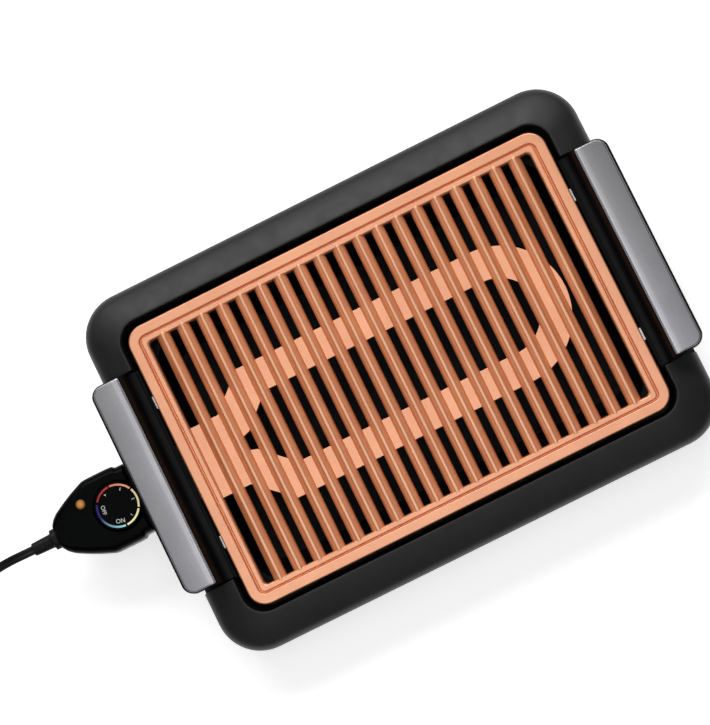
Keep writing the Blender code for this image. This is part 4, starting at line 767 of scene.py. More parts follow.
ELEMENT_SPLAY_SHARE = 1.6
PROBE_DIAMETER = 6 * MM
PROBE_DEPTH_IN_PLATE = 44 * MM
BOSS_HALF_WIDTH = 25.5 * MM
BOSS_LENGTH = 50 * MM
BOSS_BELOW_ELEMENT = 5.4 * MM
BOSS_ABOVE_ELEMENT = 4.2 * MM
PLATE_EDGE = 0.35 * MM

ELEMENT_Z = PLATE_TOP_Z - ELEMENT_DEPTH
BAR_PITCH = 2 * (PLATE_HALF_X - BAR_END_INSET) / (BAR_COUNT - 1)
WEB_BEND_X = PLATE_HALF_X - WEB_BEND_INSET


def plate_frame():
    """The plate's rim: flat band, narrow groove, and the ledge that carries the ends of the bars.

    Its section is a path of (inset, depth) points, over the top and back underneath."""
    ledge, lip = RIM_BAND + LEDGE_WIDTH, RIM_LIP_DEPTH
    under = LEDGE_WIDTH / 10
    path = [(0, lip), (0, lip / 4), (lip / 40, lip / 7), (lip / 10, lip / 18), (lip / 5, lip / 90)]
    path += [(lip / 4, 0)]
    path += [(inset * MM, depth * MM) for inset, depth in GROOVE_TOP_MM + LEDGE_TOP_MM]
    path += [(ledge, LEDGE_DEPTH), (RIM_BAND + 3 * under, LEDGE_DEPTH), (RIM_BAND + under, lip)]
    rings = []
    for inset, depth in path:
        radius = max(PLATE_CORNER - inset, LEDGE_WIDTH / 2)
        rings.append(rectangle_ring(PLATE_HALF_X - inset, PLATE_HALF_Y - inset, radius, PLATE_TOP_Z - depth))
    return loft("plate_casting", rings, closed=True)


def bar_section(x, y, width_share, top_depth, bottom_depth):
    side = []
    for half_share, depth_share in BAR_HALF_WIDTH_SHARES:
        depth = top_depth + (bottom_depth - top_depth) * depth_share
        side.append((depth, BAR_WIDTH / 2 * width_share * half_share))
    return [Vector((x + half, y, PLATE_TOP_Z - depth)) for depth, half in side + mirrored(side)]


def plate_bars():
    bm = bmesh.new()
    tip = PLATE_HALF_Y - RIM_BAND - BAR_TIP_GAP
    for number in range(BAR_COUNT):
        x = (number - (BAR_COUNT - 1) / 2) * BAR_PITCH
        near, far = [], []
        for share, width, drop in BAR_NOSE_SHARES:
            y, top = tip - BAR_NOSE * share, BAR_NOSE_DEPTH * drop
            bottom = BAR_NOSE_DEPTH + (BAR_DEPTH - BAR_NOSE_DEPTH) * min(2 * share, 1)
            near.append(bar_section(x, -y, width, top, bottom))
            far.append(bar_section(x, y, width, top, bottom))
        add_loft(bm, near + far[::-1])
    return from_bmesh("plate_bars", bm)


def plate_web():
    """The U of the element's web, with the pad where its two ends run to the socket."""
    outer, inner = WEB_RADIUS + WEB_WIDTH / 2, WEB_RADIUS - WEB_WIDTH / 2
    start = -PLATE_HALF_X + RIM_BAND + LEDGE_WIDTH / 2
    pad = start + WEB_PAD_LENGTH
    splay = pad + WEB_SPLAY_LENGTH
    bend = (WEB_BEND_X, 0)
    side = [(start, -WEB_PAD_HALF_WIDTH), (pad, -WEB_PAD_HALF_WIDTH), (splay, -outer)]
    edge = side + arc(bend, outer, -90, 90, 4 * CORNER_STEPS) + mirrored(side)
    fork, knee = pad + WEB_FORK_REACH, pad + WEB_KNEE_REACH
    side = [(fork, -WEB_FORK_HALF_WIDTH), (knee, -WEB_KNEE_HALF_WIDTH), (splay + WEB_WIDTH / 2, -inner)]
    hole = side + arc(bend, inner, -90, 90, 4 * CORNER_STEPS) + mirrored(side)
    low, high = PLATE_TOP_Z - WEB_BOTTOM_DEPTH, PLATE_TOP_Z - WEB_TOP_DEPTH
    return plan_solid("plate_web", [edge, hole], low, high, PLATE_EDGE)


def element_line():
    end_x = -PLATE_HALF_X - ELEMENT_END_REACH
    pad = -PLATE_HALF_X + BOSS_LENGTH
    splay = pad + WEB_SPLAY_LENGTH * ELEMENT_SPLAY_SHARE
    half = ELEMENT_END_SPACING / 2
    ease = WEB_SPLAY_LENGTH / 4
    side = [
        (end_x, half), (pad - ease, half), (pad, half + ease / 5), (splay - ease, WEB_RADIUS - ease / 3),
        (splay, WEB_RADIUS), (WEB_BEND_X, WEB_RADIUS),
    ]
    bend = arc((WEB_BEND_X, 0), WEB_RADIUS, 90, -90, 2 * CORNER_STEPS)
    return [Vector((x, y, ELEMENT_Z)) for x, y in side + bend[1:-1] + mirrored(side)]


def tube(name, line, diameter):
    return loft(name, swept(line, circle(diameter / 2, SMALL_SIDES)))


def make_plate():
    body = plate_frame()
    left = -PLATE_HALF_X
    low = (left, -BOSS_HALF_WIDTH, ELEMENT_Z - BOSS_BELOW_ELEMENT)
    high = (left + BOSS_LENGTH, BOSS_HALF_WIDTH, ELEMENT_Z + BOSS_ABOVE_ELEMENT)
    boss = block("terminal_boss", low, high)
    carve(body, [plate_web(), plate_bars(), boss], "UNION")
    start, end = (left - OVERRUN, 0, ELEMENT_Z), (left + PROBE_DEPTH_IN_PLATE, 0, ELEMENT_Z)
    groove = tube("element_groove", element_line(), ELEMENT_DIAMETER + 2 * SEAT_GAP)
    carve(body, [groove, bore(start, end, PROBE_DIAMETER, RUN_GAP)])
    dress(body, "plate", "copper_nonstick", "grill_plate", sharp=40)
    element = tube("element_tube", element_line(), ELEMENT_DIAMETER)
    dress(element, "plate", "stainless_steel", "heating_element", sharp=60)


make_plate()


# Drip tray, pressed from sheet, and the feet

TRAY_SHEET = 1.2 * MM
TRAY_INSET_X = 33.4 * MM
TRAY_INSET_Y = 41.4 * MM
TRAY_CORNER = 20 * MM
TRAY_FLARE_X = 13 * MM
TRAY_FLARE_Y = 20 * MM
TRAY_HEIGHT = 28 * MM
TRAY_FLANGE = 5 * MM
TRAY_BEND = 4 * MM
FOOT_DIAMETER = 24 * MM
FOOT_STUD_DIAMETER = 8 * MM
FOOT_STUD_LENGTH = 3.6 * MM


def make_tray():
    low = WELL_FLOOR_Z + SEAT_GAP
    high = low + TRAY_HEIGHT
    bend = TRAY_BEND
    under = high - TRAY_SHEET
    outside = [(0, low, bend), (0, low + bend / 4, 0), (1, under, 0), (1, under, -TRAY_FLANGE)]
    inside = [
        (1, high, -TRAY_FLANGE), (1, high, TRAY_SHEET), (0, low + bend / 4 + TRAY_SHEET, TRAY_SHEET),
        (0, low + TRAY_SHEET, bend + TRAY_SHEET),
    ]
    rings = []
    for side in (outside, inside):
        stations = []
        for flare, z, inset in side:
            half_x = OPENING_HALF_X - TRAY_INSET_X + flare * TRAY_FLARE_X - inset
            half_y = OPENING_HALF_Y - TRAY_INSET_Y + flare * TRAY_FLARE_Y - inset
            stations.append((half_x, half_y, TRAY_CORNER + flare * TRAY_BEND - inset, z))
        rings += [rectangle_ring(*station) for station in eased(stations, bend / 2)]
    body = loft("tray_pan", rings)
    dress(body, "tray", "dark_tray_coating", "drip_tray", sharp=50)


def make_foot(number, x, y):
    top = SKIRT_Z - SEAT_GAP
    outer, stud = FOOT_DIAMETER / 2, FOOT_STUD_DIAMETER / 2
    profile = [
        (0, top + FOOT_STUD_LENGTH), (stud, top + FOOT_STUD_LENGTH), (stud, top), (outer, top),
        (outer - top / 8, 0), (outer - top / 2, 0), (outer - top, top / 8), (0, top / 8),
    ]
    foot = turned(f"rubber_foot_{number}", eased(profile, top / 6, 3), (x, y))
    dress(foot, "base", "black_rubber", f"foot_{number}")


make_tray()
for number, (x, y) in enumerate(foot_places(), 1):
    make_foot(number, x, y)


# Handles: scooped bodies, metallic strips on top, and the brackets

HANDLE_GAP = 2.6 * MM
HANDLE_REACH = 47.2 * MM
HANDLE_RISE = 21.4 * MM
HANDLE_CORNER = 12 * MM
HANDLE_LIP_WIDTH = 7.4 * MM
HANDLE_LIP_OVERHANG = 0.9 * MM
HANDLE_LIP_BELOW_TOP = 4 * MM
HANDLE_LIP_THICKNESS = 2.4 * MM
HANDLE_LEG = 3.5 * MM
HANDLE_FOOT_Z = 47.3 * MM
HANDLE_SKIRT_DEPTH = 9 * MM
HANDLE_WALL = 3 * MM
HANDLE_EDGE = 0.6 * MM
SCOOP_WIDTH = 9.5 * MM
SCOOP_SHARES = ((0.22, 0.05), (0.36, 0.28), (0.5, 0.55), (0.68, 0.82), (0.86, 0.96))
LIP_RIDGE_SHARES = ((0, 0.8), (0.25, 1.1), (0.6, 0.95))
CAP_THICKNESS = 2.5 * MM
CAP_EDGE = 1 * MM
CAP_INSET = 2.2 * MM
CAP_ROUNDING = 1.5 * MM
CAP_INNER_SHARE = 2.6
CAP_CORNER = 1.6 * MM
CAP_LINE_REACH = 3.1 * MM
CAP_LINE_WIDTH = 0.7 * MM
CAP_LINE_DEPTH = 1.2 * MM
BRACKET_WIDTH = 12 * MM
BRACKET_SHEET = 1.5 * MM
BRACKET_UNDER_PLATE = 9 * MM
BRACKET_LEG = 13 * MM
BRACKET_SPREAD = 144 * MM
BRACKET_SCREW_DIAMETER = 3 * MM
GUARD_HALF_WIDTH = 27.5 * MM
GUARD_HALF_HEIGHT = 7.2 * MM

HANDLE_INNER_X = PLATE_HALF_X + HANDLE_GAP
HANDLE_OUTER_X = HANDLE_INNER_X + HANDLE_REACH
LIP_END_X = HANDLE_INNER_X + HANDLE_LIP_WIDTH
CAP_INNER_X = LIP_END_X + SCOOP_WIDTH
# Painted highlight by the strips' inner edge and painted shade towards their outer edge, as levels across
# the width
GUNMETAL_PAINTED_SHEEN_STOPS = ((0, 0.5), (0.1, 0.54), (0.28, 0.33), (0.5, 0.28), (1, 0.23))
LOOKS["gunmetal_strip"] = strip_metal_painted_sheen(
    "gunmetal", ((0.93, 0.93, 1), (0.97, 0.96, 1)), GUNMETAL_PAINTED_SHEEN_STOPS, CAP_INNER_X,
    HANDLE_OUTER_X - CAP_INSET - CAP_INNER_X,
)
CAP_SEAT_Z = PLATE_TOP_Z + HANDLE_RISE
BRACKET_TOP_Z = PLATE_TOP_Z - RIM_LIP_DEPTH - SEAT_GAP
BRACKET_SCREW_Z = BRACKET_TOP_Z - BRACKET_LEG / 2 - BRACKET_SHEET / 2


def handle_outline():
    """The handle's section as (x, z): lip by the plate, scoop, flat top, skirt, and the leg below."""
    lip_low = PLATE_TOP_Z - HANDLE_LIP_BELOW_TOP
    lip_top = lip_low + HANDLE_LIP_THICKNESS
    skirt = CAP_SEAT_Z - HANDLE_SKIRT_DEPTH
    inner = HANDLE_INNER_X - HANDLE_LIP_OVERHANG
    upper = [(inner + a * HANDLE_LIP_WIDTH, lip_low + b * HANDLE_LIP_THICKNESS) for a, b in LIP_RIDGE_SHARES]
    upper += [(LIP_END_X + a * SCOOP_WIDTH, lip_top + b * (CAP_SEAT_Z - lip_top)) for a, b in SCOOP_SHARES]
    upper.append((CAP_INNER_X, CAP_SEAT_Z))
    edge = HANDLE_OUTER_X - 2 * CAP_THICKNESS
    outer = [(edge, CAP_SEAT_Z), (HANDLE_OUTER_X, CAP_SEAT_Z), (HANDLE_OUTER_X, skirt), (edge, skirt)]
    outer = eased(outer, CAP_THICKNESS / 2)
    leg = LIP_END_X + HANDLE_LEG
    under = [
        (CAP_INNER_X - HANDLE_WALL, skirt), (leg + HANDLE_WALL / 3, lip_top + HANDLE_WALL), (leg, lip_top),
        (leg, HANDLE_FOOT_Z), (LIP_END_X, HANDLE_FOOT_Z), (LIP_END_X, lip_low),
    ]
    return [tuple(p) for p in [(inner, lip_low), *spline(upper, 5), *outer, *under]]


def handle_plan(side, inset):
    half, outer, radius = HANDLE_LENGTH / 2 - inset, HANDLE_OUTER_X - inset, HANDLE_CORNER - inset
    corner = arc((outer - radius, half - radius), radius, 90, 0, CORNER_STEPS)
    return [(side * x, y) for x, y in corner + mirrored(corner)]


def make_handle(name, side):
    half, inner = HANDLE_LENGTH / 2, side * (HANDLE_INNER_X - OVERRUN)
    body = section_solid(f"{name}_body", [(side * x, z) for x, z in handle_outline()], half + OVERRUN)
    plan = [(inner, half), *handle_plan(side, -2 * MERGE), (inner, -half)]
    low, high = HANDLE_FOOT_Z - OVERRUN, CAP_SEAT_Z + OVERRUN
    carve(body, [plan_solid(f"{name}_plan", [plan], low, high)], "INTERSECT")
    skirt = CAP_SEAT_Z - HANDLE_SKIRT_DEPTH
    inner = side * (CAP_INNER_X - HANDLE_WALL / 3)
    hollow = [(inner, half - HANDLE_WALL), *handle_plan(side, HANDLE_WALL), (inner, HANDLE_WALL - half)]
    cuts = [plan_solid(f"{name}_hollow", [hollow], skirt - OVERRUN, CAP_SEAT_Z - HANDLE_WALL)]
    if side < 0:
        width = GUARD_HALF_WIDTH + RUN_GAP
        low = (-LIP_END_X - HANDLE_LEG - OVERRUN, -width, HANDLE_FOOT_Z - OVERRUN)
        high = (-LIP_END_X + OVERRUN, width, ELEMENT_Z + GUARD_HALF_HEIGHT + SEAT_GAP)
        cuts.append(block("guard_window", low, high))
    for y in (-BRACKET_SPREAD / 2, BRACKET_SPREAD / 2):
        low = (side * (LIP_END_X - OVERRUN), y, BRACKET_SCREW_Z)
        high = (side * (LIP_END_X + HANDLE_LEG + OVERRUN), y, BRACKET_SCREW_Z)
        cuts.append(bore(low, high, BRACKET_SCREW_DIAMETER))
    carve(body, cuts)
    soften(body, HANDLE_EDGE, 50)
    # the handle body takes the darker copy of its satin black, as painted shade
    dress(body, "plate", "satin_black_plastic", name, look=SHADED_SCOOP_BLACK)


def cap_ring(side, inset, z):
    """The strip's outline at one height: its inner edge is rounded off further than the others."""
    half = HANDLE_LENGTH / 2 - CAP_EDGE - inset
    outer = HANDLE_OUTER_X - CAP_INSET - inset
    inner = CAP_INNER_X + inset * CAP_INNER_SHARE
    radius = HANDLE_CORNER - CAP_INSET - inset
    small = CAP_CORNER - inset / 2
    large_corner = arc((outer - radius, half - radius), radius, 90, 0, CORNER_STEPS)
    small_corner = arc((inner + small, half - small), small, 180, 90, CORNER_STEPS // 2)
    points = large_corner + mirrored(large_corner) + mirrored(small_corner) + small_corner
    return [Vector((side * x, y, z)) for x, y in points]


def make_cap(name, side):
    low = CAP_SEAT_Z + SEAT_GAP
    high = low + CAP_THICKNESS
    rings = [cap_ring(side, 0, low)]
    for x, z in arc((0, 0), CAP_ROUNDING, 0, 90, CORNER_STEPS // 2):
        rings.append(cap_ring(side, CAP_ROUNDING - x, high - CAP_ROUNDING + z))
    body = loft(f"{name}_strip", rings)
    start, half = CAP_INNER_X + CAP_LINE_REACH, HANDLE_LENGTH / 2
    left, right = sorted((side * start, side * (start + CAP_LINE_WIDTH)))
    carve(body, [block("cap_line", (left, -half, high - CAP_LINE_DEPTH), (right, half, high + OVERRUN))])
    dress(body, "plate", "gunmetal_strip", name, sharp=50)


def make_bracket(number, side, y):
    top = BRACKET_TOP_Z
    inner = PLATE_HALF_X - BRACKET_UNDER_PLATE
    outer = LIP_END_X - SEAT_GAP
    sheet = BRACKET_SHEET
    upper = [(inner, top), (outer, top), (outer, top - BRACKET_LEG)]
    under = [(outer - sheet, top - BRACKET_LEG), (outer - sheet, top - sheet), (inner, top - sheet)]
    outline = [(side * p.x, p.y) for p in eased(upper, sheet) + eased(under, sheet / 3)]
    strip = section_solid(f"bracket_strip_{number}", outline, BRACKET_WIDTH / 2, y)
    reach = (side * (outer + OVERRUN), y, BRACKET_SCREW_Z)
    carve(strip, [bore((0, y, BRACKET_SCREW_Z), reach, BRACKET_SCREW_DIAMETER)])
    dress(strip, "plate", "stainless_steel", f"handle_bracket_{number}")


for name, side in (("handle_left", -1), ("handle_right", 1)):
    make_handle(name, side)
    make_cap(name.replace("handle", "handle_cap"), side)
for number, (side, end) in enumerate(CORNERS, 1):
    make_bracket(number, side, BRACKET_SPREAD / 2 * end)


# Controller: two shells, dial, lamp and strain relief

SOCKET_REACH = 53 * MM
CONTROLLER_LENGTH = 84.5 * MM
CONTROLLER_WIDTH = 74.5 * MM
CONTROLLER_ABOVE = 16.6 * MM
CONTROLLER_BELOW = 17 * MM
CONTROLLER_WALL = 2.2 * MM
CONTROLLER_EDGE = 7 * MM
CONTROLLER_EASE_SHARE = 0.02
CONTROLLER_OUTLINE_SHARES = (
    (0, 0.926), (0.1, 0.93), (0.125, 0.99), (0.2, 1), (0.46, 1), (0.5, 0.985), (0.545, 0.945),
    (0.65, 0.846), (0.757, 0.73), (0.85, 0.615), (0.896, 0.556), (0.953, 0.446), (0.985, 0.345), (1, 0.28),
)
SHELL_EDGE_SHARES = ((0, 0), (0.5, 0.04), (0.76, 0.2), (0.93, 0.56), (1, 1))
SHELL_INNER_SHARES = ((0, 0), (0.75, 0.15), (1, 1))
TENON_LENGTH = 8 * MM
TENON_INSET = 7.25 * MM
TENON_HALF_HEIGHT = 8 * MM
SHAFT_DIAMETER = 6 * MM
LENS_DIAMETER = 9 * MM
LENS_FLANGE = 1.4 * MM
LENS_DOME = 1.1 * MM
LENS_DOME_SHARES = ((0, 1), (0.5, 0.8), (1, 0))
GLOW_REACH = 6 * MM
SHELL_SCREW_DIAMETER = 3 * MM
SHELL_SCREW_HEAD = 6 * MM
SHELL_SCREW_HEAD_HEIGHT = 2.2 * MM
SHELL_POST_DIAMETER = 9 * MM
SHELL_SCREW_BACK_SHARE = 0.8
SHELL_SCREW_ASIDE = 9 * MM
SHELL_SCREW_ENGAGEMENT = 9 * MM
DIAL_DIAMETER = 48 * MM
DIAL_HEIGHT = 5.6 * MM
DIAL_TOP_DIAMETER = 44.4 * MM
DIAL_RECESS = 1.2 * MM
DIAL_DISH = 0.5 * MM
DIAL_RIM = 1.4 * MM
RELIEF_COLLAR_WIDTH = 20 * MM
RELIEF_COLLAR_HEIGHT = 14 * MM
RELIEF_COLLAR_LENGTH = 5.6 * MM
RELIEF_NECK_DIAMETER = 11 * MM
RELIEF_NECK_LENGTH = 8 * MM
RELIEF_SLEEVE_LENGTH = 20.4 * MM
RELIEF_SLEEVE_WIDTH = 13.6 * MM
RELIEF_SLEEVE_HEIGHT = 9.6 * MM
RELIEF_EASE = 1.2 * MM
RELIEF_SHARES = ((0, 1.06, 1.1), (0.12, 1, 1), (0.6, 0.96, 0.88), (1, 0.9, 0.76))

NOSE_X = PLATE_HALF_X + SOCKET_REACH
CONTROLLER_END_X = NOSE_X + CONTROLLER_LENGTH
TENON_HALF_WIDTH = CONTROLLER_WIDTH / 2 - TENON_INSET
DIAL_LOW, DIAL_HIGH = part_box("dial_knob")
DIAL_X = (DIAL_LOW.x + DIAL_HIGH.x) / 2 - CENTRE_X
LENS_LOW, LENS_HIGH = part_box("indicator_lens")
LENS_CENTRE = (LENS_LOW + LENS_HIGH) / 2
LENS_X = LENS_CENTRE.x - CENTRE_X
LENS_TOP = (LENS_CENTRE.x, LENS_CENTRE.y, LENS_HIGH.z)
LOOKS["amber_lens"] = glowing("amber_lens", (0.9, 0.38, 0.08), 0.6, LENS_TOP, GLOW_REACH)


def controller_ring(inset, z):
    """The controller's outline at one height, drawn in by inset: blunt nose, tapering to the lead."""
    far = []
    for along, half_share in eased(CONTROLLER_OUTLINE_SHARES, CONTROLLER_EASE_SHARE, 4):
        half = max(CONTROLLER_WIDTH / 2 * half_share - inset, CONTROLLER_WALL)
        far.append([-NOSE_X - CONTROLLER_LENGTH * along, half])
    far[0][0] -= inset / 3
    far[-1][0] += inset / 2
    return [Vector((x, y, z)) for x, y in far + mirrored(far)]


def shell_rings(shares, start, height, inset):
    return [controller_ring(CONTROLLER_EDGE * draw + inset, start + height * rise) for rise, draw in shares]


def make_shell(name, height, direction):
    """A hollow half of the controller, with its screw posts and the openings for nose and lead."""
    start = ELEMENT_Z + direction * SEAT_GAP / 2
    outer_shares = [tuple(p) for p in spline(SHELL_EDGE_SHARES, 5)]
    body = loft(f"{name}_shell", shell_rings(outer_shares, start, direction * height, 0))
    depth = direction * (height - CONTROLLER_WALL + OVERRUN)
    inside = shell_rings(SHELL_INNER_SHARES, start - direction * OVERRUN, depth, CONTROLLER_WALL)
    carve(body, [loft("shell_hollow", inside)])
    face = ELEMENT_Z + direction * height
    within = face - direction * CONTROLLER_WALL / 2
    posts, cuts = [], []
    x = -NOSE_X - SHELL_SCREW_BACK_SHARE * CONTROLLER_LENGTH
    for y in (-SHELL_SCREW_ASIDE, SHELL_SCREW_ASIDE):
        posts.append(rod("post", (x, y, start), (x, y, within), SHELL_POST_DIAMETER, ROUND_SIDES))
        if direction > 0:
            end = start + SHELL_SCREW_ENGAGEMENT + SEAT_GAP
            cuts.append(bore((x, y, start - OVERRUN), (x, y, end), SHELL_SCREW_DIAMETER))
            continue
        cuts.append(bore((x, y, face), (x, y, start + OVERRUN), SHELL_SCREW_DIAMETER))
        end = face + 2 * SHELL_SCREW_HEAD_HEIGHT
        cuts.append(bore((x, y, face - OVERRUN), (x, y, end), SHELL_SCREW_HEAD))
    carve(body, posts, "UNION")
    half_y, half_z = TENON_HALF_WIDTH + SEAT_GAP, TENON_HALF_HEIGHT + SEAT_GAP
    low = (-NOSE_X - TENON_LENGTH, -half_y, ELEMENT_Z - half_z)
    cuts.append(block("nose_window", low, (-NOSE_X + OVERRUN, half_y, ELEMENT_Z + half_z)))
    start = (-CONTROLLER_END_X + RELIEF_NECK_LENGTH, 0, ELEMENT_Z)
    end = (-CONTROLLER_END_X - OVERRUN, 0, ELEMENT_Z)
    cuts.append(bore(start, end, RELIEF_NECK_DIAMETER))
    if direction > 0:
        above, inside, y = face + OVERRUN, face - 3 * CONTROLLER_WALL, LENS_CENTRE.y
        top = (DIAL_X, 0, above)
        cuts.append(bore((DIAL_X, 0, face - DIAL_RECESS), top, DIAL_DIAMETER, RUN_GAP, 2 * ROUND_SIDES))
        cuts.append(bore((DIAL_X, 0, inside), top, SHAFT_DIAMETER, RUN_GAP))
        cuts.append(bore((LENS_X, y, inside), (LENS_X, y, above), LENS_DIAMETER, sides=ROUND_SIDES))
    carve(body, cuts)
    dress(body, "controller", "gloss_black_plastic", name, sharp=30)


def make_lens():
    top = ELEMENT_Z + CONTROLLER_ABOVE
    radius = LENS_DIAMETER / 2
    under = top - CONTROLLER_WALL - SEAT_GAP
    flange = radius + LENS_FLANGE
    dome = spline([(radius * out, top + LENS_DOME * up) for out, up in LENS_DOME_SHARES], 6)
    profile = [tuple(p) for p in dome] + [
        (radius, under), (flange, under), (flange, under - LENS_FLANGE), (0, under - LENS_FLANGE),
    ]
    body = turned("lamp_lens", profile, (LENS_X, LENS_CENTRE.y))
    dress(body, "controller", "amber_lens", "indicator_lens")


def oval_ring(x, half_y, half_z):
    """Points round an oval across X, about the element's height."""
    return [Vector((x, half_y * a, ELEMENT_Z + half_z * b)) for a, b in circle(1, ROUND_SIDES)]


def make_relief():
    end = -CONTROLLER_END_X
    neck = RELIEF_NECK_DIAMETER / 2
    collar_y, collar_z = RELIEF_COLLAR_WIDTH / 2, RELIEF_COLLAR_HEIGHT / 2
    face = end - SEAT_GAP
    collar_end = face - RELIEF_COLLAR_LENGTH
    stations = [
        (end + RELIEF_NECK_LENGTH - SEAT_GAP, neck, neck), (face, neck, neck), (face, collar_y, collar_z),
        (collar_end, collar_y, collar_z),
    ]
    for along, width, height in RELIEF_SHARES:
        x = collar_end - RELIEF_SLEEVE_LENGTH * along
        stations.append((x, RELIEF_SLEEVE_WIDTH / 2 * width, RELIEF_SLEEVE_HEIGHT / 2 * height))
    tip = stations[-1]
    stations.append((tip[0], tip[1] / 2, tip[2] / 2))
    rings = [oval_ring(*station) for station in eased(stations, RELIEF_EASE, 4)]
    body = loft("relief_sleeve", rings)
    dress(body, "controller", "black_pvc", "strain_relief", sharp=50)


make_shell("controller_top", CONTROLLER_ABOVE, 1)
make_shell("controller_bottom", CONTROLLER_BELOW, -1)
make_lens()
make_relief()


# Dial with its printed scale: angles in degrees, a word's radius and size in mm

PRINT_HEIGHT = 0.06 * MM
SCALE_OUTER = 20.4 * MM
SCALE_INNER = 18.6 * MM
SCALE_STEP = 3
SCALE_SEGMENTS = (
    (93, 145, "4", (0.42, 0.03, 0.02), (0.25, 0.006, 0.008), 0),
    (30, 89, "3", (0.8, 0.36, 0.2), (0.62, 0.16, 0.1), 0),
    (-29, 25, "2", (0.85, 0.8, 0.42), (0.85, 0.7, 0.36), 0),
    (-88, -33, "1", (0.84, 0.76, 0.42), (0.85, 0.8, 0.4), 0),
    (-208, -93, "on", (0.012, 0.004, 0.14), (0.3, 0.72, 0.74), 0.35),
)
DIAL_WORDS = (
    ("OFF", 172, 13.9, 5.2), ("ON", -105, 14.4, 5.6), ("1", -58, 15.6, 3.8), ("2", -2, 15.6, 3.8),
    ("3", 56, 15.6, 3.8), ("4", 114, 15.6, 3.8),
)


def make_dial():
    floor, top = DIAL_LOW.z, DIAL_HIGH.z
    low, high = DIAL_DIAMETER / 2, DIAL_TOP_DIAMETER / 2
    profile = [
        (0, top - DIAL_DISH), (high - DIAL_RIM, top - DIAL_DISH), (high - DIAL_RIM / 2, top),
        (high, top - DIAL_DISH / 2), (low - DIAL_DISH, floor + DIAL_RIM), (low, floor + DIAL_RIM / 2),
        (low, floor), (0, floor),
    ]
    knob = turned("dial_body", eased(profile, DIAL_RIM / 4, 4), (DIAL_X, 0), 2 * ROUND_SIDES)
    start, end = (DIAL_X, 0, floor - OVERRUN), (DIAL_X, 0, floor + DIAL_HEIGHT / 2)
    carve(knob, [bore(start, end, SHAFT_DIAMETER)])
    dress(knob, "dial", "gloss_black_plastic", "dial_knob", sharp=30)
    for low, high, mark, first, last, held in SCALE_SEGMENTS:
        name = f"dial_scale_{mark}"
        steps = round((high - low) / SCALE_STEP)
        outline = arc((DIAL_X, 0), SCALE_OUTER, low, high, steps)
        outline += arc((DIAL_X, 0), SCALE_INNER, high, low, steps)
        under = top - DIAL_DISH
        segment = plan_solid(name, [outline], under, under + PRINT_HEIGHT)
        paint = scale_paint(name, low, high, first, last, held)
        dress(segment, "dial", "gloss_black_plastic", look=paint)
    for word, angle, radius, size in DIAL_WORDS:
        made = lettered(word, angle, radius * MM, size * MM)
        dress(made, "dial", "gloss_black_plastic", look=WHITE_PRINT)


def lettered(word, angle, radius, size):
    """A word in thin relief, inside the dial's ring, its top towards the dial's middle."""
    name = f"dial_{word.lower()}"
    curve = bpy.data.curves.new(name, "FONT")
    curve.body = word
    curve.size = size
    curve.align_x = "CENTER"
    curve.align_y = "CENTER"
    curve.extrude = PRINT_HEIGHT / 2
    turn = Matrix.Rotation(math.radians(angle + 90), 4, "Z")
    place = (DIAL_X + radius * math.cos(math.radians(angle)), radius * math.sin(math.radians(angle)))
    lift = Matrix.Translation((*place, DIAL_HIGH.z - DIAL_DISH + PRINT_HEIGHT / 2))
    return from_curve(name, curve, lift @ turn, MERGE / 5)


make_dial()


# Plug

PLUG_WIDTH = 26 * MM
PLUG_LENGTH = 34 * MM
PLUG_NECK_LENGTH = 14 * MM
BLADE_WIDTH = 6.4 * MM
BLADE_THICKNESS = 1.5 * MM
BLADE_SPACING = 12.7 * MM
BLADE_SUNK = 6 * MM
PLUG_SHARES = (
    (0, 0.42, 0.52), (0.2, 0.5, 0.62), (0.4, 0.8, 0.86), (0.6, 1, 1), (0.93, 1, 1), (0.985, 0.97, 0.96),
    (1, 0.93, 0.9),
)


def make_plug():
    line = coil_line()
    end = line[-1]
    rings = []
    total = PLUG_NECK_LENGTH + PLUG_LENGTH
    for along, width, height in spline(PLUG_SHARES, 5):
        centre = Vector((end.x + SEAT_GAP + total * along, end.y, end.z - ELEMENT_Z))
        oval = oval_ring(0, PLUG_WIDTH / 2 * width, PLUG_THICKNESS / 2 * height)
        rings.append([centre + point for point in oval])
    body = loft("plug_grip", rings)
    face = end.x + SEAT_GAP + total
    slots = []
    for side in (-1, 1):
        y = end.y + side * BLADE_SPACING / 2
        half_y, half_z = BLADE_THICKNESS / 2 + SEAT_GAP, BLADE_WIDTH / 2 + SEAT_GAP
        low = (face - BLADE_SUNK - SEAT_GAP, y - half_y, end.z - half_z)
        slots.append(block(f"blade_slot_{side}", low, (face + OVERRUN, y + half_y, end.z + half_z)))
    carve(body, slots)
    dress(body, "controller", "black_pvc", "plug_body", sharp=40)


make_plug()


# The lead comes after its plug

def make_lead():
    route = spline([Vector(point) * MM for point in CORD_ROUTE], 4)
    path = route + coil_line()
    made = loft("power_cord", swept(path, cord_section()))
    dress(made, "controller", "black_pvc", "cord_stretch", "cord_coil", sharp=60)
    world = [in_frame(*point) for point in path]


make_lead()


# Light, floor and background

LAMP_AIM = Vector((0, 0, 50 * MM))
LAMPS = (
    ("overhead", (-0.2, -0.28, 2.5), (1.8, 1.9), 1.22),
    ("far_bank", (0.3, 2, 2.2), (3.2, 1.2), 5.2),
    ("near_bank", (0, -2, 2.2), (3.2, 1.2), 0.32),
)
WORLD_COLOR = (0.95, 0.97, 1.0, 1)
WORLD_STRENGTH = 0.12
WHITE = (1, 1, 1, 1)
BACKDROP_TOP = (0.1, 0.3)
FLOOR_COLOR = (0.9, 0.9, 0.9, 1)
FLOOR_ROUGHNESS = 0.9
FLOOR_HALF = 6
FLOOR_DROP = 0.1 * MM
FLOOR_NEAR = (0.6, 2.4)
FLOOR_LEVEL = (0.62, 1)


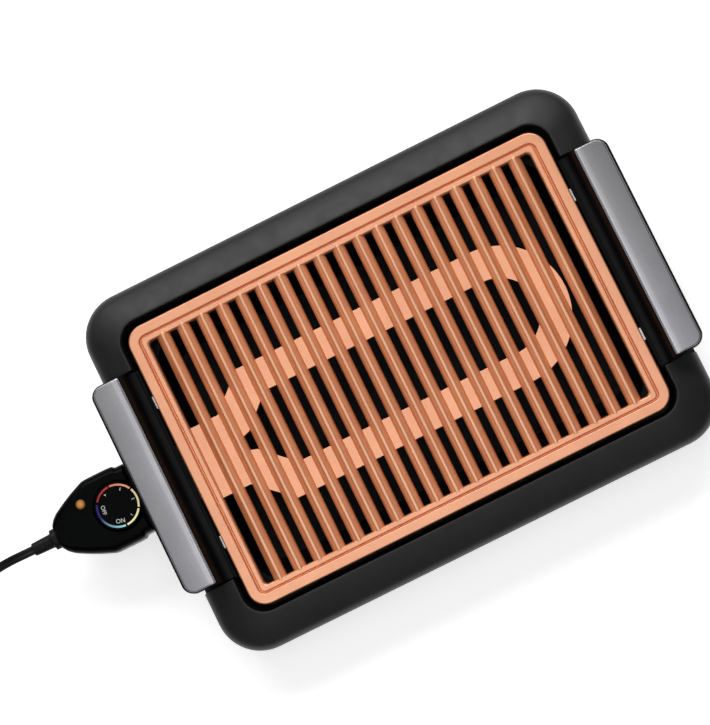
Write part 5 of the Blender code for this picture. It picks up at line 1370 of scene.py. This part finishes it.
def make_lamps():
    """Soft lamps that face the grill, each given by its place, its size and its radiance."""
    for name, place, (size_x, size_y), radiance in LAMPS:
        data = bpy.data.lights.new(name, "AREA")
        data.shape = "RECTANGLE"
        data.size, data.size_y = size_x, size_y
        data.energy = radiance * math.pi * size_x * size_y
        made = linked(name, data)
        made.location = place
        made.rotation_euler = (LAMP_AIM - Vector(place)).to_track_quat("-Z", "Y").to_euler()


def seen_ray(tree):
    """1 where a surface is seen by the camera, in a gloss or through glass, else 0."""
    path = node(tree, "LightPath", {}).outputs
    direct = calculated(tree, "MAXIMUM", path["Is Camera Ray"], path["Is Glossy Ray"])
    return calculated(tree, "MAXIMUM", direct, path["Is Transmission Ray"])


def make_world():
    """Plain light on the object, white behind it, and the same white low down in gloss and glass."""
    world = bpy.data.worlds.new("studio")
    bpy.context.scene.world = world
    world.use_nodes = True
    tree = world.node_tree
    lit = tree.nodes["Background"]
    feed(tree, lit, {"Color": WORLD_COLOR, "Strength": WORLD_STRENGTH})
    white = node(tree, "Background", {"Color": WHITE, "Strength": 1})
    ahead = node(tree, "TexCoord", {}).outputs["Generated"]
    height = node(tree, "SeparateXYZ", {"Vector": ahead}).outputs["Z"]
    low = calculated(tree, "MULTIPLY", seen_ray(tree), mapped(tree, height, *BACKDROP_TOP, 1, 0))
    shown = calculated(tree, "MAXIMUM", node(tree, "LightPath", {}).outputs["Is Camera Ray"], low)
    mix = node(tree, "MixShader", {0: shown, 1: lit.outputs["Background"], 2: white.outputs["Background"]})
    feed(tree, tree.nodes["World Output"], {"Surface": mix.outputs["Shader"]})


def make_floor():
    """A white floor that keeps the shadow, lifted to full white away from the grill."""
    mesh = bpy.data.meshes.new("floor")
    corners = [(x * FLOOR_HALF, y * FLOOR_HALF, 0) for x, y in ((-1, -1), (1, -1), (1, 1), (-1, 1))]
    mesh.from_pydata(corners, [], [(0, 1, 2, 3)])
    floor = linked("floor", mesh)
    floor.location.z = -FLOOR_DROP
    made = bpy.data.materials.new("floor")
    tree, shader = shader_parts(made)
    away = node(tree, "VectorMath", {0: object_place(tree)}, operation="LENGTH").outputs["Value"]
    level = calculated(tree, "MULTIPLY", seen_ray(tree), mapped(tree, away, *FLOOR_NEAR, *FLOOR_LEVEL))
    feed(tree, shader, {"Base Color": FLOOR_COLOR, "Roughness": FLOOR_ROUGHNESS})
    feed(tree, shader, {"Emission Color": WHITE, "Emission Strength": level})
    mesh.materials.append(made)


make_lamps()
make_world()
make_floor()


# Materials of the nodes that stay as they are

def dress_nodes():
    slots = {part["node"]: part["material_slot"] for part in frame["record"]["subparts"]}
    for name, piece in frame["nodes"].items():
        piece.data.materials.clear()
        piece.data.materials.append(LOOKS[slots[name]])


dress_nodes()

view = bpy.context.scene.view_settings
view.view_transform = "Standard"
bpy.context.view_layer.update()
